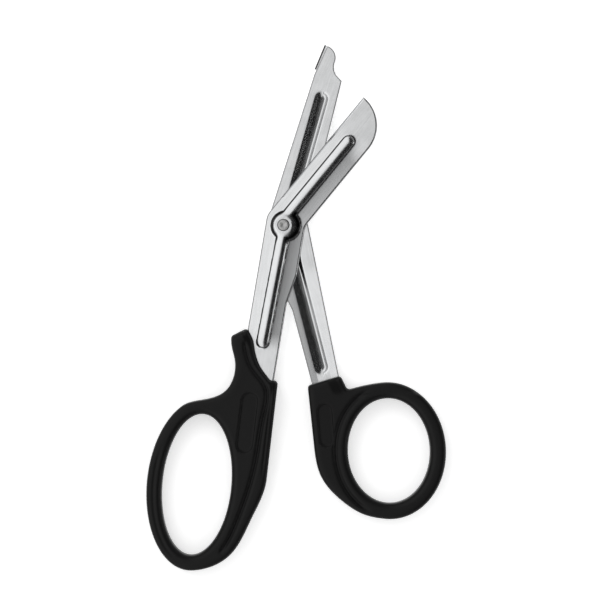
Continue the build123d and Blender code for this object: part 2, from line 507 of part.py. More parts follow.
# Rear handle, moulded over the rear blade's tang
with BuildPart() as rear_handle:
    with BuildSketch(bench) as rear_grip:
        with BuildLine():
            ring = EllipticalCenterArc(
                rear_middle, *reversed(rear_ring_size), REAR_LOOP_ARC_START,
                arc_size=REAR_LOOP_ARC, rotation=-REAR_LOOP_LEAN)
            TangentArc(ring @ 1, REAR_NOTCH, tangent=ring % 1)
            Polyline(REAR_NOTCH, REAR_PEAK, REAR_CORNER, REAR_SIDE_LOW)
            Spline(REAR_SIDE_LOW, rear_loop(REAR_BELLY_ANGLE, REAR_BELLY_WALL),
                   rear_loop(REAR_HEEL_ANGLE, REAR_HEEL_WALL),
                   rear_loop(REAR_HEEL_END_ANGLE, REAR_HEEL_END_WALL), ring @ 0,
                   tangents=(Vector(REAR_SIDE_LOW) - Vector(REAR_CORNER), ring % 0))
        make_face()
        for corner in (REAR_NOTCH, REAR_PEAK, REAR_CORNER):
            fillet(rear_grip.vertices().sort_by_distance(corner)[0], CORNER_ROUND)
    extrude(amount=GRIP_THICKNESS)
    rear_rims = rear_handle.faces().sort_by(Axis.Z)
    fillet(rear_rims[0].edges() + rear_rims[-1].edges(), GRIP_EDGE_ROUND)
    with BuildSketch(bench):
        with Locations(rear_middle):
            Ellipse(REAR_LOOP_HALF_WIDTH, REAR_LOOP_HALF_LENGTH, rotation=-REAR_LOOP_LEAN)
    extrude(amount=GRIP_THICKNESS, mode=Mode.SUBTRACT)
    rear_opening = rear_handle.edges().filter_by(GeomType.ELLIPSE)
    fillet(rear_opening.sort_by_distance(bench.from_local_coords(
        Vector(*rear_middle, 0)))[:1] + rear_opening.sort_by_distance(
        bench.from_local_coords(Vector(*rear_middle, GRIP_THICKNESS)))[:1], LOOP_EDGE_ROUND)
    add(rear_blade.part, mode=Mode.SUBTRACT)
    with BuildSketch(bench.offset(GRIP_THICKNESS)):
        with BuildLine():
            EllipticalCenterArc(rear_middle, REAR_LOOP_HALF_WIDTH + REAR_CREASE_INSET,
                                REAR_LOOP_HALF_LENGTH + REAR_CREASE_INSET, REAR_CREASE_START,
                                arc_size=REAR_CREASE_ARC, rotation=-REAR_LOOP_LEAN)
        trace(line_width=CREASE_WIDTH)
    extrude(amount=-CREASE_DEPTH, mode=Mode.SUBTRACT)
    with BuildSketch(bench.offset(GRIP_THICKNESS)):
        with Locations((REAR_PANEL_X, REAR_PANEL_Y)):
            SlotOverall(REAR_PANEL_LENGTH, REAR_PANEL_WIDTH, rotation=90 - REAR_PANEL_LEAN)
    extrude(amount=-PANEL_DEPTH, mode=Mode.SUBTRACT)

pieces = {
    "front_blade": front_blade,
    "rear_blade": rear_blade,
    "pivot_rivet": pivot_rivet,
    "front_handle": front_handle,
    "rear_handle": rear_handle,
}
os.makedirs("parts", exist_ok=True)
for name, piece in pieces.items():
    piece.part.label = name
    export_step(piece.part, f"parts/{name}.step")
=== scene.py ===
"""Bandage scissors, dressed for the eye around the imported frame.

Two pressed steel blades on one rivet, each in a moulded black handle, lie slightly open on a white table and are
seen from straight above. Sizes are in millimetres, but for the studio's, and a place is measured from the rivet's
axis, which comes from the frame's joint. A lean is in degrees clockwise from +Y, seen from above.
"""

import json

import bmesh
import bpy
import numpy as np
from bpy.props import FloatProperty, FloatVectorProperty, PointerProperty
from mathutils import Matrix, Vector
from mathutils.geometry import delaunay_2d_cdt


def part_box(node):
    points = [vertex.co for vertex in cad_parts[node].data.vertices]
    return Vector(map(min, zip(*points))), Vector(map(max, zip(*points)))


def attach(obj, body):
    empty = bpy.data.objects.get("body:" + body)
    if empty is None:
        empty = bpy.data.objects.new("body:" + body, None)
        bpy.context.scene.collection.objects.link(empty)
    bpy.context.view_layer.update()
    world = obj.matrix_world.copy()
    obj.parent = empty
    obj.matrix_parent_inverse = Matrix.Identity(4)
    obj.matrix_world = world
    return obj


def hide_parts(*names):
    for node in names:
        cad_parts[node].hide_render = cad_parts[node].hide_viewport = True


bl_info = {
    "name": "Bandage scissors",
    "version": (1, 0, 0),
    "blender": (4, 5, 0),
    "location": "3D view > Sidebar > Scissors",
    "description": "Pressed blades, peened rivet and moulded handles around a fixed frame, with a plain studio",
    "category": "Add Mesh",
}

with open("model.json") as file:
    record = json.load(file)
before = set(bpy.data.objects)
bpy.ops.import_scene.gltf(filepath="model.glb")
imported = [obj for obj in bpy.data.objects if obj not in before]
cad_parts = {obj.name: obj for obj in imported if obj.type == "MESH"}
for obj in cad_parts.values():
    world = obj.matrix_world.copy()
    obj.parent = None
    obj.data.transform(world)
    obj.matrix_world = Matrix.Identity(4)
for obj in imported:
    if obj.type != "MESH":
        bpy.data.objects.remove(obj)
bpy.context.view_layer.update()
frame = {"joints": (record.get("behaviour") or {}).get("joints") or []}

MM = 0.001
PIVOT = next(joint for joint in frame["joints"] if joint["name"] == "pivot")
RIVET = np.array(PIVOT["pos_m"]) / MM
GRIP_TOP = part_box("front_handle")[1].z / MM
RIVET_HEAD_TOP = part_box("pivot_rivet")[1].z / MM
RIVET_HEAD_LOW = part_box("pivot_rivet")[0].z / MM

# Sheet, ribs, boss and edges, as the frame has them
SHEET = 1.5
BLADE_GAP = 0.1
EDGE_START = 7.0
BEVEL_WIDTH, BEVEL_DEPTH, BEVEL_RUN_IN = 0.7, 1.15, 2.0
KNEE_ROUND, STEP_ROUND = 6.0, 5.0
BOSS_FLAT_RADIUS = 3.1
BOSS_SHIFT = (0.8, -0.2)    # how far the front boss's foot lies off the rivet's axis
HOLLOW_INSET = 0.3
INNER_ROUND = 0.18          # the inner face's rim is barely rounded
THINNEST = 0.2              # what stays of the sheet wherever a hollow and the outer face come close
ON_EDGE = 0.02              # how near the edge's line a point of the rim counts as ground
RIVET_RADIUS = 1.5
RIVET_HEAD_RADIUS = 2.2
RIVET_HEAD_HEIGHT = 0.75

# How the press leaves the sheet
FORM_WALL, FORM_STEEPNESS = 0.38, 1.05      # low wall at the foot of all that is pressed, just over 45 degrees
BOSS_POWER = 1.4                            # how the boss falls outside its flat
FORM_BLEND, SHEET_BLEND = 0.15, 0.1         # how softly ribs and boss run together, and into the sheet
TROUGH_SHARE, TROUGH_TILT = 0.87, 0.12      # depth of a trough's floor by the rib's height, and the floor's slope
TROUGH_WALLS, TROUGH_BLEND = (0.45, 0.86), 0.12
FALL_REACH = 11.0                           # how far the fall beside a rib goes on
FALL_GAIN, FALL_GAIN_RUN = 0.2, 6.0         # how much steeper it gets, below the rivet
FALL_END, FALL_END_RUN = 5.0, 9.0           # it ends round the end of the rib
LIP_SHARE, LIP_WIDTH, LIP_START, LIP_RUN = 0.6, 5.0, 14.0, 8.0      # the rear shank's inner face beside its trough

# Painted shade: dark lines drawn into the steel's colour along the rim and at the foot of pressed forms
RIM_WIDTH = 0.48                            # width over which the sheared rim is darkened by painted shade
LINE_HEIGHT, LINE_SPAN = 0.15, 0.16         # height of the line of painted shade at the foot of a form, and how high it reaches
STEEP_HEIGHT, STEEP_SPAN = 0.22, 0.2        # what is added to both on the steep sides of a shifted boss
STEEP_REACH, STEEP_RUN = 7.5, 2.0           # it ends at this distance from the rivet
STEEP_SHIFT = 0.4                           # shift in a place's direction from which its side is fully steep
NOT_FLAT = 0.005                            # what stands this high is part of a form

# Front blade
FRONT_LEAN, FRONT_EDGE, FRONT_SPINE, FRONT_TIP = 39.35, -6.85, 6.35, 40.7
FRONT_RIB, FRONT_RIB_END = -0.9, 38.0
FRONT_SHANK_LEAN, FRONT_SHANK_LEFT, FRONT_SHANK_RIGHT, FRONT_SHANK_NARROW = 9.6, -6.35, 7.8, 5.95
FRONT_STEP_START, FRONT_STEP_END, FRONT_TANG_END = -17.0, -27.5, -77.0
FRONT_SHANK_RIB_LEAN, FRONT_SHANK_RIB, FRONT_SHANK_RIB_END = 10.8, 0.55, -42.6

# Rear blade, with its probe measured from the end of the spine
REAR_EDGE_LEAN, REAR_EDGE, REAR_EDGE_LENGTH = 14.0, 7.8, 55.4
REAR_SPINE_LEAN, REAR_SPINE = 17.7, -5.85
REAR_RIB_LEAN, REAR_RIB, REAR_RIB_END = 15.8, 0.9, 47.6
REAR_SHANK_LEAN, REAR_SHANK_LEFT, REAR_SHANK_RIGHT = -11.5, -5.4, 8.7
REAR_NARROW_LEAN, REAR_NARROW_LEFT = -15.0, -4.85
REAR_STEP_START, REAR_STEP_END, REAR_TANG_END = -22.0, -30.5, -76.0
REAR_SHANK_RIB_LEAN, REAR_SHANK_RIB, REAR_SHANK_RIB_END = -14.4, 0.65, -53.0
FOOT_LEAN, FOOT_STEP, FOOT_START, FOOT_LENGTH, FOOT_SETBACK = 22.6, 0.72, 1.75, 9.45, 1.0
FOOT_THICKNESS, FOOT_LAP, FOOT_BEND, FOOT_ROUND, FOOT_CORNER = 1.2, 1.9, 0.9, 2.0, 1.2
FOOT_INNER_BEND = 0.35
FOOT_SINK, FOOT_LIFT = 0.012, 0.03      # they keep the foot's lap just inside both faces of the sheet
FOOT_SHADE_RUN, FOOT_SHADE_RISE = 0.5, 0.3        # how the painted shade on the bend fades, inwards and down the wall
NOSE_WIDTH, NOSE_ROUND = 5.8, 4.5
FLARE_LENGTH, FLARE_WIDTH = 3.7, 1.85

# Rivet heads: the round of the rim, the punch's dish, and the fall of the crown round it
HEAD_ROUND = 0.35
HEAD_SHADE_RADIUS, HEAD_SHADE_SPAN = 2.1, 0.25    # the line of painted shade round a head's edge
DISH_DEPTH, DISH_RADIUS = 0.12, 1.3
CROWN_FALL, CROWN_RADIUS, CROWN_RUN = 0.05, 1.4, 0.5

# Finger loops: the upper end of each opening's long axis, its half sizes, its lean and the wall round it
FRONT_LOOP = {"top": (-28.58, -67.98), "half": (25.45, 12.4), "lean": 5.8, "wall": 5.5, "arc": (118.0, 275.0)}
REAR_LOOP = {"top": (37.08, -62.32), "half": (18.85, 14.76), "lean": -2.7, "wall": 5.7, "arc": (-98.0, 92.0)}

# Front handle's outline: a pair marked as round is degrees round the loop and the wall there
HORN_FRONT, HORN_TIP, HORN_CORNER, HORN_BACK = (-11.4, -40.2), (-13.0, -37.0), (-18.8, -39.9), (-18.75, -41.9)
HORN_WAIST, HORN_ROOT = (-17.4, -49.0), (-21.2, -59.9)
FRONT_TOP_ROUND, FRONT_HEEL_ROUND, FRONT_BELLY_ROUND = (90.5, 5.3), (312.2, 8.05), (343.5, 9.45)
FRONT_SIDE_LOW, FRONT_SHOULDER = (-6.0, -91.5), (-1.9, -56.0)
MOUTH_LOW, MOUTH_MIDDLE, MOUTH_HIGH = (-4.7, -55.9), (-8.1, -51.2), (-10.2, -45.2)
HORN_CREASE = ((-14.3, -40.6), (-11.3, -50.9), (-6.2, -58.2), (-7.0, -68.7))
LOOP_CREASE_ROUND = ((17.6, 9.0), (338.8, 4.8), (306.3, 4.6))
HORN_CREASE_START, LOOP_CREASE_TURN = (0.3, -1), 40.0       # where it sets out, and how it ends against the loop

# Rear handle's outline, given the same two ways
REAR_CORNER, REAR_SIDE_LOW, REAR_NOTCH, REAR_PEAK = (8.7, -57.8), (11.0, -79.5), (23.1, -59.3), (20.6, -54.2)
REAR_BELLY_ROUND, REAR_HEEL_ROUND, REAR_HEEL_END_ROUND = (195.5, 11.05), (218.9, 8.25), (243.9, 6.45)
NOTCH_DIP = (0, -1.2)       # how the run from the loop turns down into the notch

# Moulded forms of the upper faces; a crease's form is its width, its depth and the length over which it fades out
CORNER_ROUND = 1.4
SHOULDER_WIDTH = 2.6                                # over which a face falls towards its outline
PANEL_DEPTH, PANEL_RUN = 0.5, 0.35
FRONT_PANEL = {"middle": (-13.0, -71.0), "size": (21.5, 5.8), "lean": 7.0}
REAR_PANEL = {"middle": (15.2, -72.0), "size": (15.2, 5.2), "lean": -4.5}
FRONT_CREASE_WIDTH, FRONT_CREASE_FADE = 1.3, 5.0
BAND_SLOPE, BAND_WIDTH, BAND_END, BAND_FADE = 0.24, 4.0, 25.0, 8.0      # slope between the crease and the blade
HORN_BEVEL_SLOPE, HORN_BEVEL_WIDTH = 0.3, 1.9
LOOP_LINE_ARC, LOOP_LINE_INSET, LOOP_LINE_FORM = (150, 262), 2.5, (1.3, 0.2, 10.0)
RAIL_INSET, RAIL_FORM = (1.9, 0.2), (0.9, 0.15, 6.0)
REAR_CREASE_ARC, REAR_CREASE_WALL = (106, 250), 4.4
REAR_CREASE_WIDTH, REAR_CREASE_FADE = 1.4, 7.0
FACET_START, FACET_LEAN, FACET_SLOPE, FACET_WIDTH = (16.9, -58.4), 62.0, 0.28, 3.0
FACET_LOW, FACET_FADE = -61.5, 2.0                  # the facet at the rear handle's upper right corner

# Spacing of the points that the meshes are made of
NEAR_EDGE = np.array([0.0, 0.04, 0.12, 0.24, 0.38, 0.55, 0.7, 0.95])
SHEET_COLUMNS, SHEET_STEP = 84, 0.4
NARROW_ROW = 2.6            # a row narrower than this many times the near places draws them together
TURNED_STEPS = 96
CURVE_STEP, RING_STEP, OPENING_STEP, CREASE_STEP = 0.25, 0.3, 0.45, 0.4
UPPER_SPACING, UNDER_SPACING = 0.5, 1.2
ROW_SPACING = 0.866         # rows of a triangular grid, by the distance between its points
CREASE_OFFSETS = (-0.75, -0.5, -0.3, -0.14, 0, 0.14, 0.3, 0.5, 0.75)
PANEL_OFFSETS = (-0.22, -0.08, 0.08, 0.22)
WELD, SHARP_ANGLE = 0.002, 40.0         # points this close are one; a sharper turn than this many degrees shows

# Steel finishes: roughness, and the size and depth of the dimples
TUMBLED, PEENED = (0.2, 0.9, 0.012), (0.34, 0.4, 0.35)
HAIRLINE_SPACING, HAIRLINE_LENGTH, CLOUD_SIZE = 0.5, 12.0, 4.0
BOTH_NOISES = {"From_Min": 0.8, "From_Max": 1.25}           # what the sum of clouds and hairlines spans

# Plastic finish: the mould's grain, drawn coarser than it is, and the size of patches worn smoother
GRAIN_SIZE, GRAIN_DEPTH, WEAR_SIZE = 0.25, 0.02, 14.0

# Studio: the middle of the picture from the rivet, then, in metres, the table, the tent and the lamp
VIEW_MIDDLE = np.array([5.98, -26.96])
TABLE_REACH, TABLE_LEVEL = 3.0, -0.02 * MM
TENT_RADIUS = 2.0
LAMP_PLACE, LAMP_SIZE = (-0.55, 0.6, 0.9), 0.9

# The tent's tones. Each patch is a product of steps: an axis of the direction, where the step starts and ends on it,
# and the tones before and after.
TENT_PATCHES = (
    # Bright on the left and overhead, grey towards the table, dark on the right
    (("X", 0.02, 0.2, 1.0, 0.008), ("Z", 0.08, 0.52, 0.02, 1.0), ("X", -0.4, 0.02, 1.08, 0.95)),
    # A low bright patch due right, for the light line along the shank's rib
    (("X", 0.1, 0.4, 0.0, 3.2), ("Z", 0.5, 0.64, 1.0, 0.0), ("Z", 0.14, 0.3, 0.0, 1.0),
     ("Y", -0.2, -0.17, 0.0, 1.0), ("Y", -0.13, -0.08, 1.0, 0.0)),
    # An even band on the right, near the table, for the light along the plastic's rims
    (("X", 0.1, 0.4, 0.0, 0.8), ("Z", 0.34, 0.46, 1.0, 0.0)),
)


def at(lean, along, across):
    """Points at distances along, and to the right of, a line that leans through the rivet."""
    c, s = np.cos(np.radians(lean)), np.sin(np.radians(lean))
    along, across = np.asarray(along, float), np.asarray(across, float)
    return np.stack([along * s + across * c, along * c - across * s], axis=-1)


def on(lean, points):
    """The other way round: how far along, and to the right of, a leaning line each point lies."""
    c, s = np.cos(np.radians(lean)), np.sin(np.radians(lean))
    return points[..., 0] * s + points[..., 1] * c, points[..., 0] * c - points[..., 1] * s


def crossing(lean_a, across_a, lean_b, across_b):
    """The point where two leaning lines meet, from the equations x cos(lean) - y sin(lean) = across of both."""
    a, b = np.radians(lean_a), np.radians(lean_b)
    return np.linalg.solve([[np.cos(a), -np.sin(a)], [np.cos(b), -np.sin(b)]], [across_a, across_b])


def probe(along, across):
    """Points along the foot's lean, and to its right, from the end of the rear blade's spine."""
    root = crossing(REAR_SPINE_LEAN, REAR_SPINE, REAR_EDGE_LEAN + 90, -REAR_EDGE_LENGTH)
    return root + at(FOOT_LEAN, along, across)


def round_loop(loop, angle, wall):
    """Points that stand off a loop's opening: an ellipse grown by the wall, read at angles from the right."""
    angle = np.radians(angle)
    along = (loop["half"][0] + wall) * np.sin(angle) - loop["half"][0]
    return np.array(loop["top"]) + at(loop["lean"], along, (loop["half"][1] + wall) * np.cos(angle))


def lengths(path):
    """Distance travelled to each point of a path."""
    return np.concatenate([[0.0], np.cumsum(np.linalg.norm(np.diff(path, axis=0), axis=1))])


def read(path, places):
    """The points at given distances along a path."""
    travelled = lengths(path)
    return np.stack([np.interp(places, travelled, path[:, k]) for k in range(2)], axis=-1)


def smooth_curve(points, start, end, step=CURVE_STEP):
    """A smooth curve through points: cubic pieces over chord length whose slope and bend run on from one to the
    next, and which leave and arrive in two given directions."""
    points = np.asarray(points, float)
    chord = np.linalg.norm(np.diff(points, axis=0), axis=1)
    count = len(points)
    system, wanted = np.zeros((count, count)), np.zeros((count, 2))
    system[0, 0] = system[-1, -1] = 1.0
    wanted[0], wanted[-1] = (np.asarray(v, float) / np.linalg.norm(v) for v in (start, end))
    inner = np.arange(1, count - 1)
    system[inner, inner - 1] = chord[1:]
    system[inner, inner] = 2 * (chord[:-1] + chord[1:])
    system[inner, inner + 1] = chord[:-1]
    slope = np.diff(points, axis=0) / chord[:, None]
    wanted[1:-1] = 3 * (chord[1:, None] * slope[:-1] + chord[:-1, None] * slope[1:])
    tangent = np.linalg.solve(system, wanted)
    knots = np.concatenate([[0.0], np.cumsum(chord)])
    place = np.linspace(0, knots[-1], int(knots[-1] / step) + 2)
    piece = np.clip(np.searchsorted(knots, place, side="right") - 1, 0, count - 2)
    h = chord[piece][:, None]
    t = (place - knots[piece])[:, None] / h
    return ((1 + 2 * t) * (1 - t) ** 2 * points[piece] + t * (1 - t) ** 2 * h * tangent[piece]
            + t ** 2 * (3 - 2 * t) * points[piece + 1] + t ** 2 * (t - 1) * h * tangent[piece + 1])


def ease_corner(path, corner, radius):
    """The path with one corner rounded: the stretch within the tangent length becomes a circular arc from its first
    point to its last, which turns by as much as the path does there."""
    middle = int(np.argmin(np.linalg.norm(path - corner, axis=1)))
    travelled = lengths(path)
    sides = [read(path, [travelled[middle] + side * 1.0])[0] - path[middle] for side in (-1, 1)]
    cosine = -sides[0] @ sides[1] / np.linalg.norm(sides[0]) / np.linalg.norm(sides[1])
    turn = np.arccos(np.clip(cosine, -1, 1))
    reach = radius * np.tan(turn / 2)
    near = np.abs(travelled - travelled[middle]) < reach
    u = ((travelled[near] - travelled[middle]) / (2 * reach) + 0.5)[:, None]
    first, last = read(path, [travelled[middle] - reach, travelled[middle] + reach])
    halfway = (first + last) / 2
    outward = path[middle] - halfway
    chord = np.linalg.norm(last - first)
    centre = halfway - outward / np.linalg.norm(outward) * chord / 2 / np.tan(turn / 2)
    spokes = np.sin((1 - u) * turn) * (first - centre) + np.sin(u * turn) * (last - centre)
    eased = path.copy()
    eased[near] = centre + spokes / np.sin(turn)
    return eased


def even(path, step, closed=False):
    """The same path with points at an even spacing, without a closed path's doubled last point."""
    count = int(round(lengths(path)[-1] / step)) + 1
    points = read(path, np.linspace(0, lengths(path)[-1], count))
    return points[:-1] if closed else points


def nearest(points, path):
    """For each point, its distance from a path, how far along the path the nearest place is, and the signed
    distance, positive to the path's right. Worked out for every point against every segment, in blocks."""
    start, run = path[:-1], np.diff(path, axis=0)
    size = np.maximum((run ** 2).sum(1), 1e-12)
    travelled = lengths(path)
    flat = points.reshape(-1, 2)
    found = np.empty((3, len(flat)))
    for block in np.array_split(np.arange(len(flat)), len(flat) // 4000 + 1):
        away = flat[block][:, None] - start[None]
        share = np.clip((away * run[None]).sum(2) / size, 0, 1)
        off = away - share[..., None] * run[None]
        gap = (off ** 2).sum(2)
        best = gap.argmin(1)
        row = np.arange(len(block))
        side = run[best, 1] * off[row, best, 0] - run[best, 0] * off[row, best, 1]
        found[0, block] = np.sqrt(gap[row, best])
        found[1, block] = travelled[best] + share[row, best] * np.sqrt(size[best])
        found[2, block] = np.copysign(found[0, block], side)
    return found.reshape(3, *points.shape[:-1])


def inside(points, ring):
    """Whether each point lies inside a closed ring: an odd number of its sides crosses the ray to the right."""
    a, b = ring, np.roll(ring, -1, axis=0)
    found = np.zeros(len(points), bool)
    for block in np.array_split(np.arange(len(points)), len(points) // 4000 + 1):
        x, y = points[block, 0][:, None], points[block, 1][:, None]
        spans = (a[:, 1] > y) != (b[:, 1] > y)
        rise = np.where(b[:, 1] == a[:, 1], 1.0, b[:, 1] - a[:, 1])
        found[block] = (spans & (x < a[:, 0] + (y - a[:, 1]) / rise * (b[:, 0] - a[:, 0]))).sum(1) % 2 == 1
    return found


def soft_max(a, b, blend):
    """The larger of two heights, with the valley between them filled over about the blend."""
    return 0.5 * (a + b + np.sqrt((a - b) ** 2 + blend ** 2))


def smooth_step(x):
    """0 below 0, 1 above 1, and a cubic ease between."""
    x = np.clip(x, 0, 1)
    return x * x * (3 - 2 * x)


def quarter_round(distance, radius):
    """How far a rounded edge lies below the face, at a distance in from the side."""
    inward = np.clip(radius - distance, 0, radius)
    return radius - np.sqrt(np.maximum(radius ** 2 - inward ** 2, 0))


def linear(hex_colour):
    """An sRGB hex colour as the linear values that a shader takes."""
    value = np.array([int(hex_colour[k:k + 2], 16) for k in (1, 3, 5)]) / 255
    return tuple(np.where(value <= 0.04045, value / 12.92, ((value + 0.055) / 1.055) ** 2.4)) + (1.0,)


def grid_faces(rows, columns, wrap):
    """Corner numbers of the squares of a grid of points, joined round the columns where it wraps."""
    row, column = np.meshgrid(np.arange(rows - 1), np.arange(columns if wrap else columns - 1), indexing="ij")
    after = (column + 1) % columns
    here, there = row * columns, (row + 1) * columns
    return np.stack([here + column, here + after, there + after, there + column], axis=-1).reshape(-1, 4)


def stand(name, data):
    """An object for a mesh, lamp or camera, put in the scene."""
    item = bpy.data.objects.new(name, data)
    bpy.context.scene.collection.objects.link(item)
    return item


def make_piece(name, parts, node, body, material):
    """One closed mesh from parts, each an array of points in millimetres from the rivet, its faces and what its
    points carry: rim, how much painted shade darkens them, and flow, a place that follows the blade's length.
    Points that coincide are welded, the faces are turned outwards, and the piece stands for its node."""
    points = [part[0].reshape(-1, 3) for part in parts]
    starts = np.cumsum([0, *map(len, points)])
    faces = [row for part, start in zip(parts, starts) for group in part[1] for row in (group + start).tolist()]
    carried = [part[2] if len(part) > 2 else {} for part in parts]
    mesh = bpy.data.meshes.new(name)
    mesh.from_pydata(((np.concatenate(points) + [RIVET[0], RIVET[1], 0]) * MM).tolist(), [], faces)
    rim = [np.asarray(c.get("rim", np.zeros(len(p))), float).ravel() for c, p in zip(carried, points)]
    flow = [np.asarray(c.get("flow", p), float).reshape(-1, 3) * MM for c, p in zip(carried, points)]
    mesh.attributes.new("rim", "FLOAT", "POINT").data.foreach_set("value", np.concatenate(rim))
    mesh.attributes.new("flow", "FLOAT_VECTOR", "POINT").data.foreach_set("vector", np.concatenate(flow).ravel())
    shape = bmesh.new()
    shape.from_mesh(mesh)
    bmesh.ops.remove_doubles(shape, verts=shape.verts, dist=WELD * MM)
    bmesh.ops.recalc_face_normals(shape, faces=shape.faces)
    shape.to_mesh(mesh)
    shape.free()
    mesh.shade_smooth()
    mesh.set_sharp_from_angle(angle=np.radians(SHARP_ANGLE))
    mesh.materials.append(material)
    piece = stand(name, mesh)
    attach(piece, body)
    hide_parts(node)
    return piece


def add_node(tree, kind, links=(), **settings):
    """A shader node with its settings and links. A setting named after a socket sets that socket."""
    node = tree.nodes.new(kind)
    for name, value in settings.items():
        if hasattr(node, name):
            setattr(node, name, value)
        else:
            node.inputs[name.replace("_", " ")].default_value = value
    for output, socket in links:
        tree.links.new(output, node.inputs[socket])
    return node


def new_material(name):
    """An empty node material and its tree and output."""
    material = bpy.data.materials.new(name)
    material.use_nodes = True
    material.node_tree.nodes.clear()
    return material, material.node_tree, material.node_tree.nodes.new("ShaderNodeOutputMaterial")


def steel_material(name, colour, roughness, dimple_size, dimple_depth):
    """Stainless sheet, pressed cold and tumbled bright: it mirrors its surroundings softly, with a faint orange-peel
    swell, cloudy patches, hairlines 0.5 mm apart that follow the blade, and dark lines of painted shade in its
    colour: along the sheared rim and at the foot of what is pressed."""
    material, tree, output = new_material(name)
    place = add_node(tree, "ShaderNodeTexCoord").outputs["Object"]
    flow = add_node(tree, "ShaderNodeAttribute", attribute_name="flow").outputs["Vector"]
    rim = add_node(tree, "ShaderNodeAttribute", attribute_name="rim").outputs["Fac"]
    stretched = add_node(tree, "ShaderNodeMapping", [(flow, "Vector")],
                         Scale=(1 / (HAIRLINE_SPACING * MM), 1 / (HAIRLINE_LENGTH * MM), 0))
    hairline = add_node(tree, "ShaderNodeTexNoise", [(stretched.outputs["Vector"], "Vector")], Scale=1.0, Detail=2.0)
    cloud = add_node(tree, "ShaderNodeTexNoise", [(place, "Vector")], Scale=1 / (CLOUD_SIZE * MM), Detail=4.0)
    grain = add_node(tree, "ShaderNodeTexNoise", [(place, "Vector")], Scale=1 / (dimple_size * MM), Detail=3.0)
    both = add_node(tree, "ShaderNodeMath", [(cloud.outputs["Fac"], 0), (hairline.outputs["Fac"], 1)])
    dull = add_node(tree, "ShaderNodeMapRange", [(both.outputs["Value"], "Value")], **BOTH_NOISES)
    dull.inputs["To Min"].default_value = roughness
    dull.inputs["To Max"].default_value = roughness * 1.25
    bump = add_node(tree, "ShaderNodeBump", [(grain.outputs["Fac"], "Height")], Strength=0.25)
    bump.inputs["Distance"].default_value = dimple_depth * MM
    tint = add_node(tree, "ShaderNodeMapRange", [(both.outputs["Value"], "Value")], **BOTH_NOISES)
    tint.inputs["To Max"].default_value = 0.045
    # painted shade: the rim attribute darkens the steel's colour towards #1E1E1E, on top of a faint random tint
    shade_and_tint = add_node(tree, "ShaderNodeMath", [(rim, 0), (tint.outputs["Result"], 2)], operation="MULTIPLY_ADD")
    shade_and_tint.inputs[1].default_value = 0.96
    tone = add_node(tree, "ShaderNodeMixRGB", [(shade_and_tint.outputs["Value"], "Fac")], Color1=tuple(colour),
                    Color2=linear("#1E1E1E"))
    shader = add_node(tree, "ShaderNodeBsdfPrincipled",
                      [(tone.outputs["Color"], "Base Color"), (dull.outputs["Result"], "Roughness"),
                       (bump.outputs["Normal"], "Normal")], Metallic=1.0)
    tree.links.new(shader.outputs["BSDF"], output.inputs["Surface"])
    return material


def plastic_material(name, colour):
    """Black ABS, injection moulded in a spark-eroded tool: satin, with a grain too fine to count, which is drawn
    here at 0.25 mm so that it shows at all."""
    material, tree, output = new_material(name)
    place = add_node(tree, "ShaderNodeTexCoord").outputs["Object"]
    grain = add_node(tree, "ShaderNodeTexNoise", [(place, "Vector")], Scale=1 / (GRAIN_SIZE * MM), Detail=2.0)
    wear = add_node(tree, "ShaderNodeTexNoise", [(place, "Vector")], Scale=1 / (WEAR_SIZE * MM), Detail=3.0)
    polish = add_node(tree, "ShaderNodeMapRange", [(wear.outputs["Fac"], "Value")], From_Min=0.3, From_Max=0.7)
    polish.inputs["To Min"].default_value = 0.36
    polish.inputs["To Max"].default_value = 0.46
    bump = add_node(tree, "ShaderNodeBump", [(grain.outputs["Fac"], "Height")], Strength=0.15)
    bump.inputs["Distance"].default_value = GRAIN_DEPTH * MM
    shader = add_node(tree, "ShaderNodeBsdfPrincipled",
                      [(polish.outputs["Result"], "Roughness"), (bump.outputs["Normal"], "Normal")],
                      Base_Color=colour, IOR=1.46)
    shader.inputs["Specular IOR Level"].default_value = 0.22
    tree.links.new(shader.outputs["BSDF"], output.inputs["Surface"])
    return material


def on_wall(distance, reach, height):
    """Height of a form pressed on a low wall: the given height up to its reach, then a straight fall, a little
    steeper than 45 degrees."""
    return np.where(distance < reach, height, FORM_WALL) - FORM_STEEPNESS * np.maximum(distance - reach, 0)


def rib(points, lean, across, end, width, height, trough):
    """A pressed rib's height: a parabola over the distance from its axis, on a low wall, ending in a dome. Seen from
    inside, as a trough, it has a floor that deepens to the right between two straight walls, the right one
    steeper."""
    along, aside = on(lean, points)
    beyond = np.maximum(along - max(end, 0), 0) + np.maximum(min(end, 0) - along, 0)
    distance = np.hypot(aside - across, beyond)
    if trough:
        floor = TROUGH_SHARE * height + TROUGH_TILT * (aside - across)
        steepness = np.where(aside < across, *TROUGH_WALLS)
        return -soft_max(-floor, -steepness * (width / 2 - distance), TROUGH_BLEND)
    reach = width / 2 - FORM_WALL
    return on_wall(distance, reach, FORM_WALL + (height - FORM_WALL) * (1 - (distance / reach) ** 2))


def boss(points, radius, flat, height, shift):
    """A flat-topped boss round the rivet: outside its flat it falls with a power of the distance, to a low wall on a
    foot circle that may lie off the rivet's axis."""
    distance = np.maximum(np.linalg.norm(points, axis=-1), 1e-6)
    toward = points @ np.array(shift) / distance
    reach = toward + np.sqrt(radius ** 2 - np.dot(shift, shift) + toward ** 2) - FORM_WALL
    fall = np.clip((distance - flat) / (reach - flat), 0, 1) ** BOSS_POWER
    return on_wall(distance, reach, FORM_WALL + (height - FORM_WALL) * (1 - fall))


def pressed(points, ribs, width, height, boss_height, trough=False):
    """Height of everything pressed into a sheet: its ribs and its boss, run together with soft valleys and a soft
    foot."""
    raised = boss_height
    for lean, across, end in ribs:
        raised = soft_max(raised, rib(points, lean, across, end, width, height, trough), FORM_BLEND)
    return soft_max(raised, 0.0, SHEET_BLEND) - SHEET_BLEND / 2


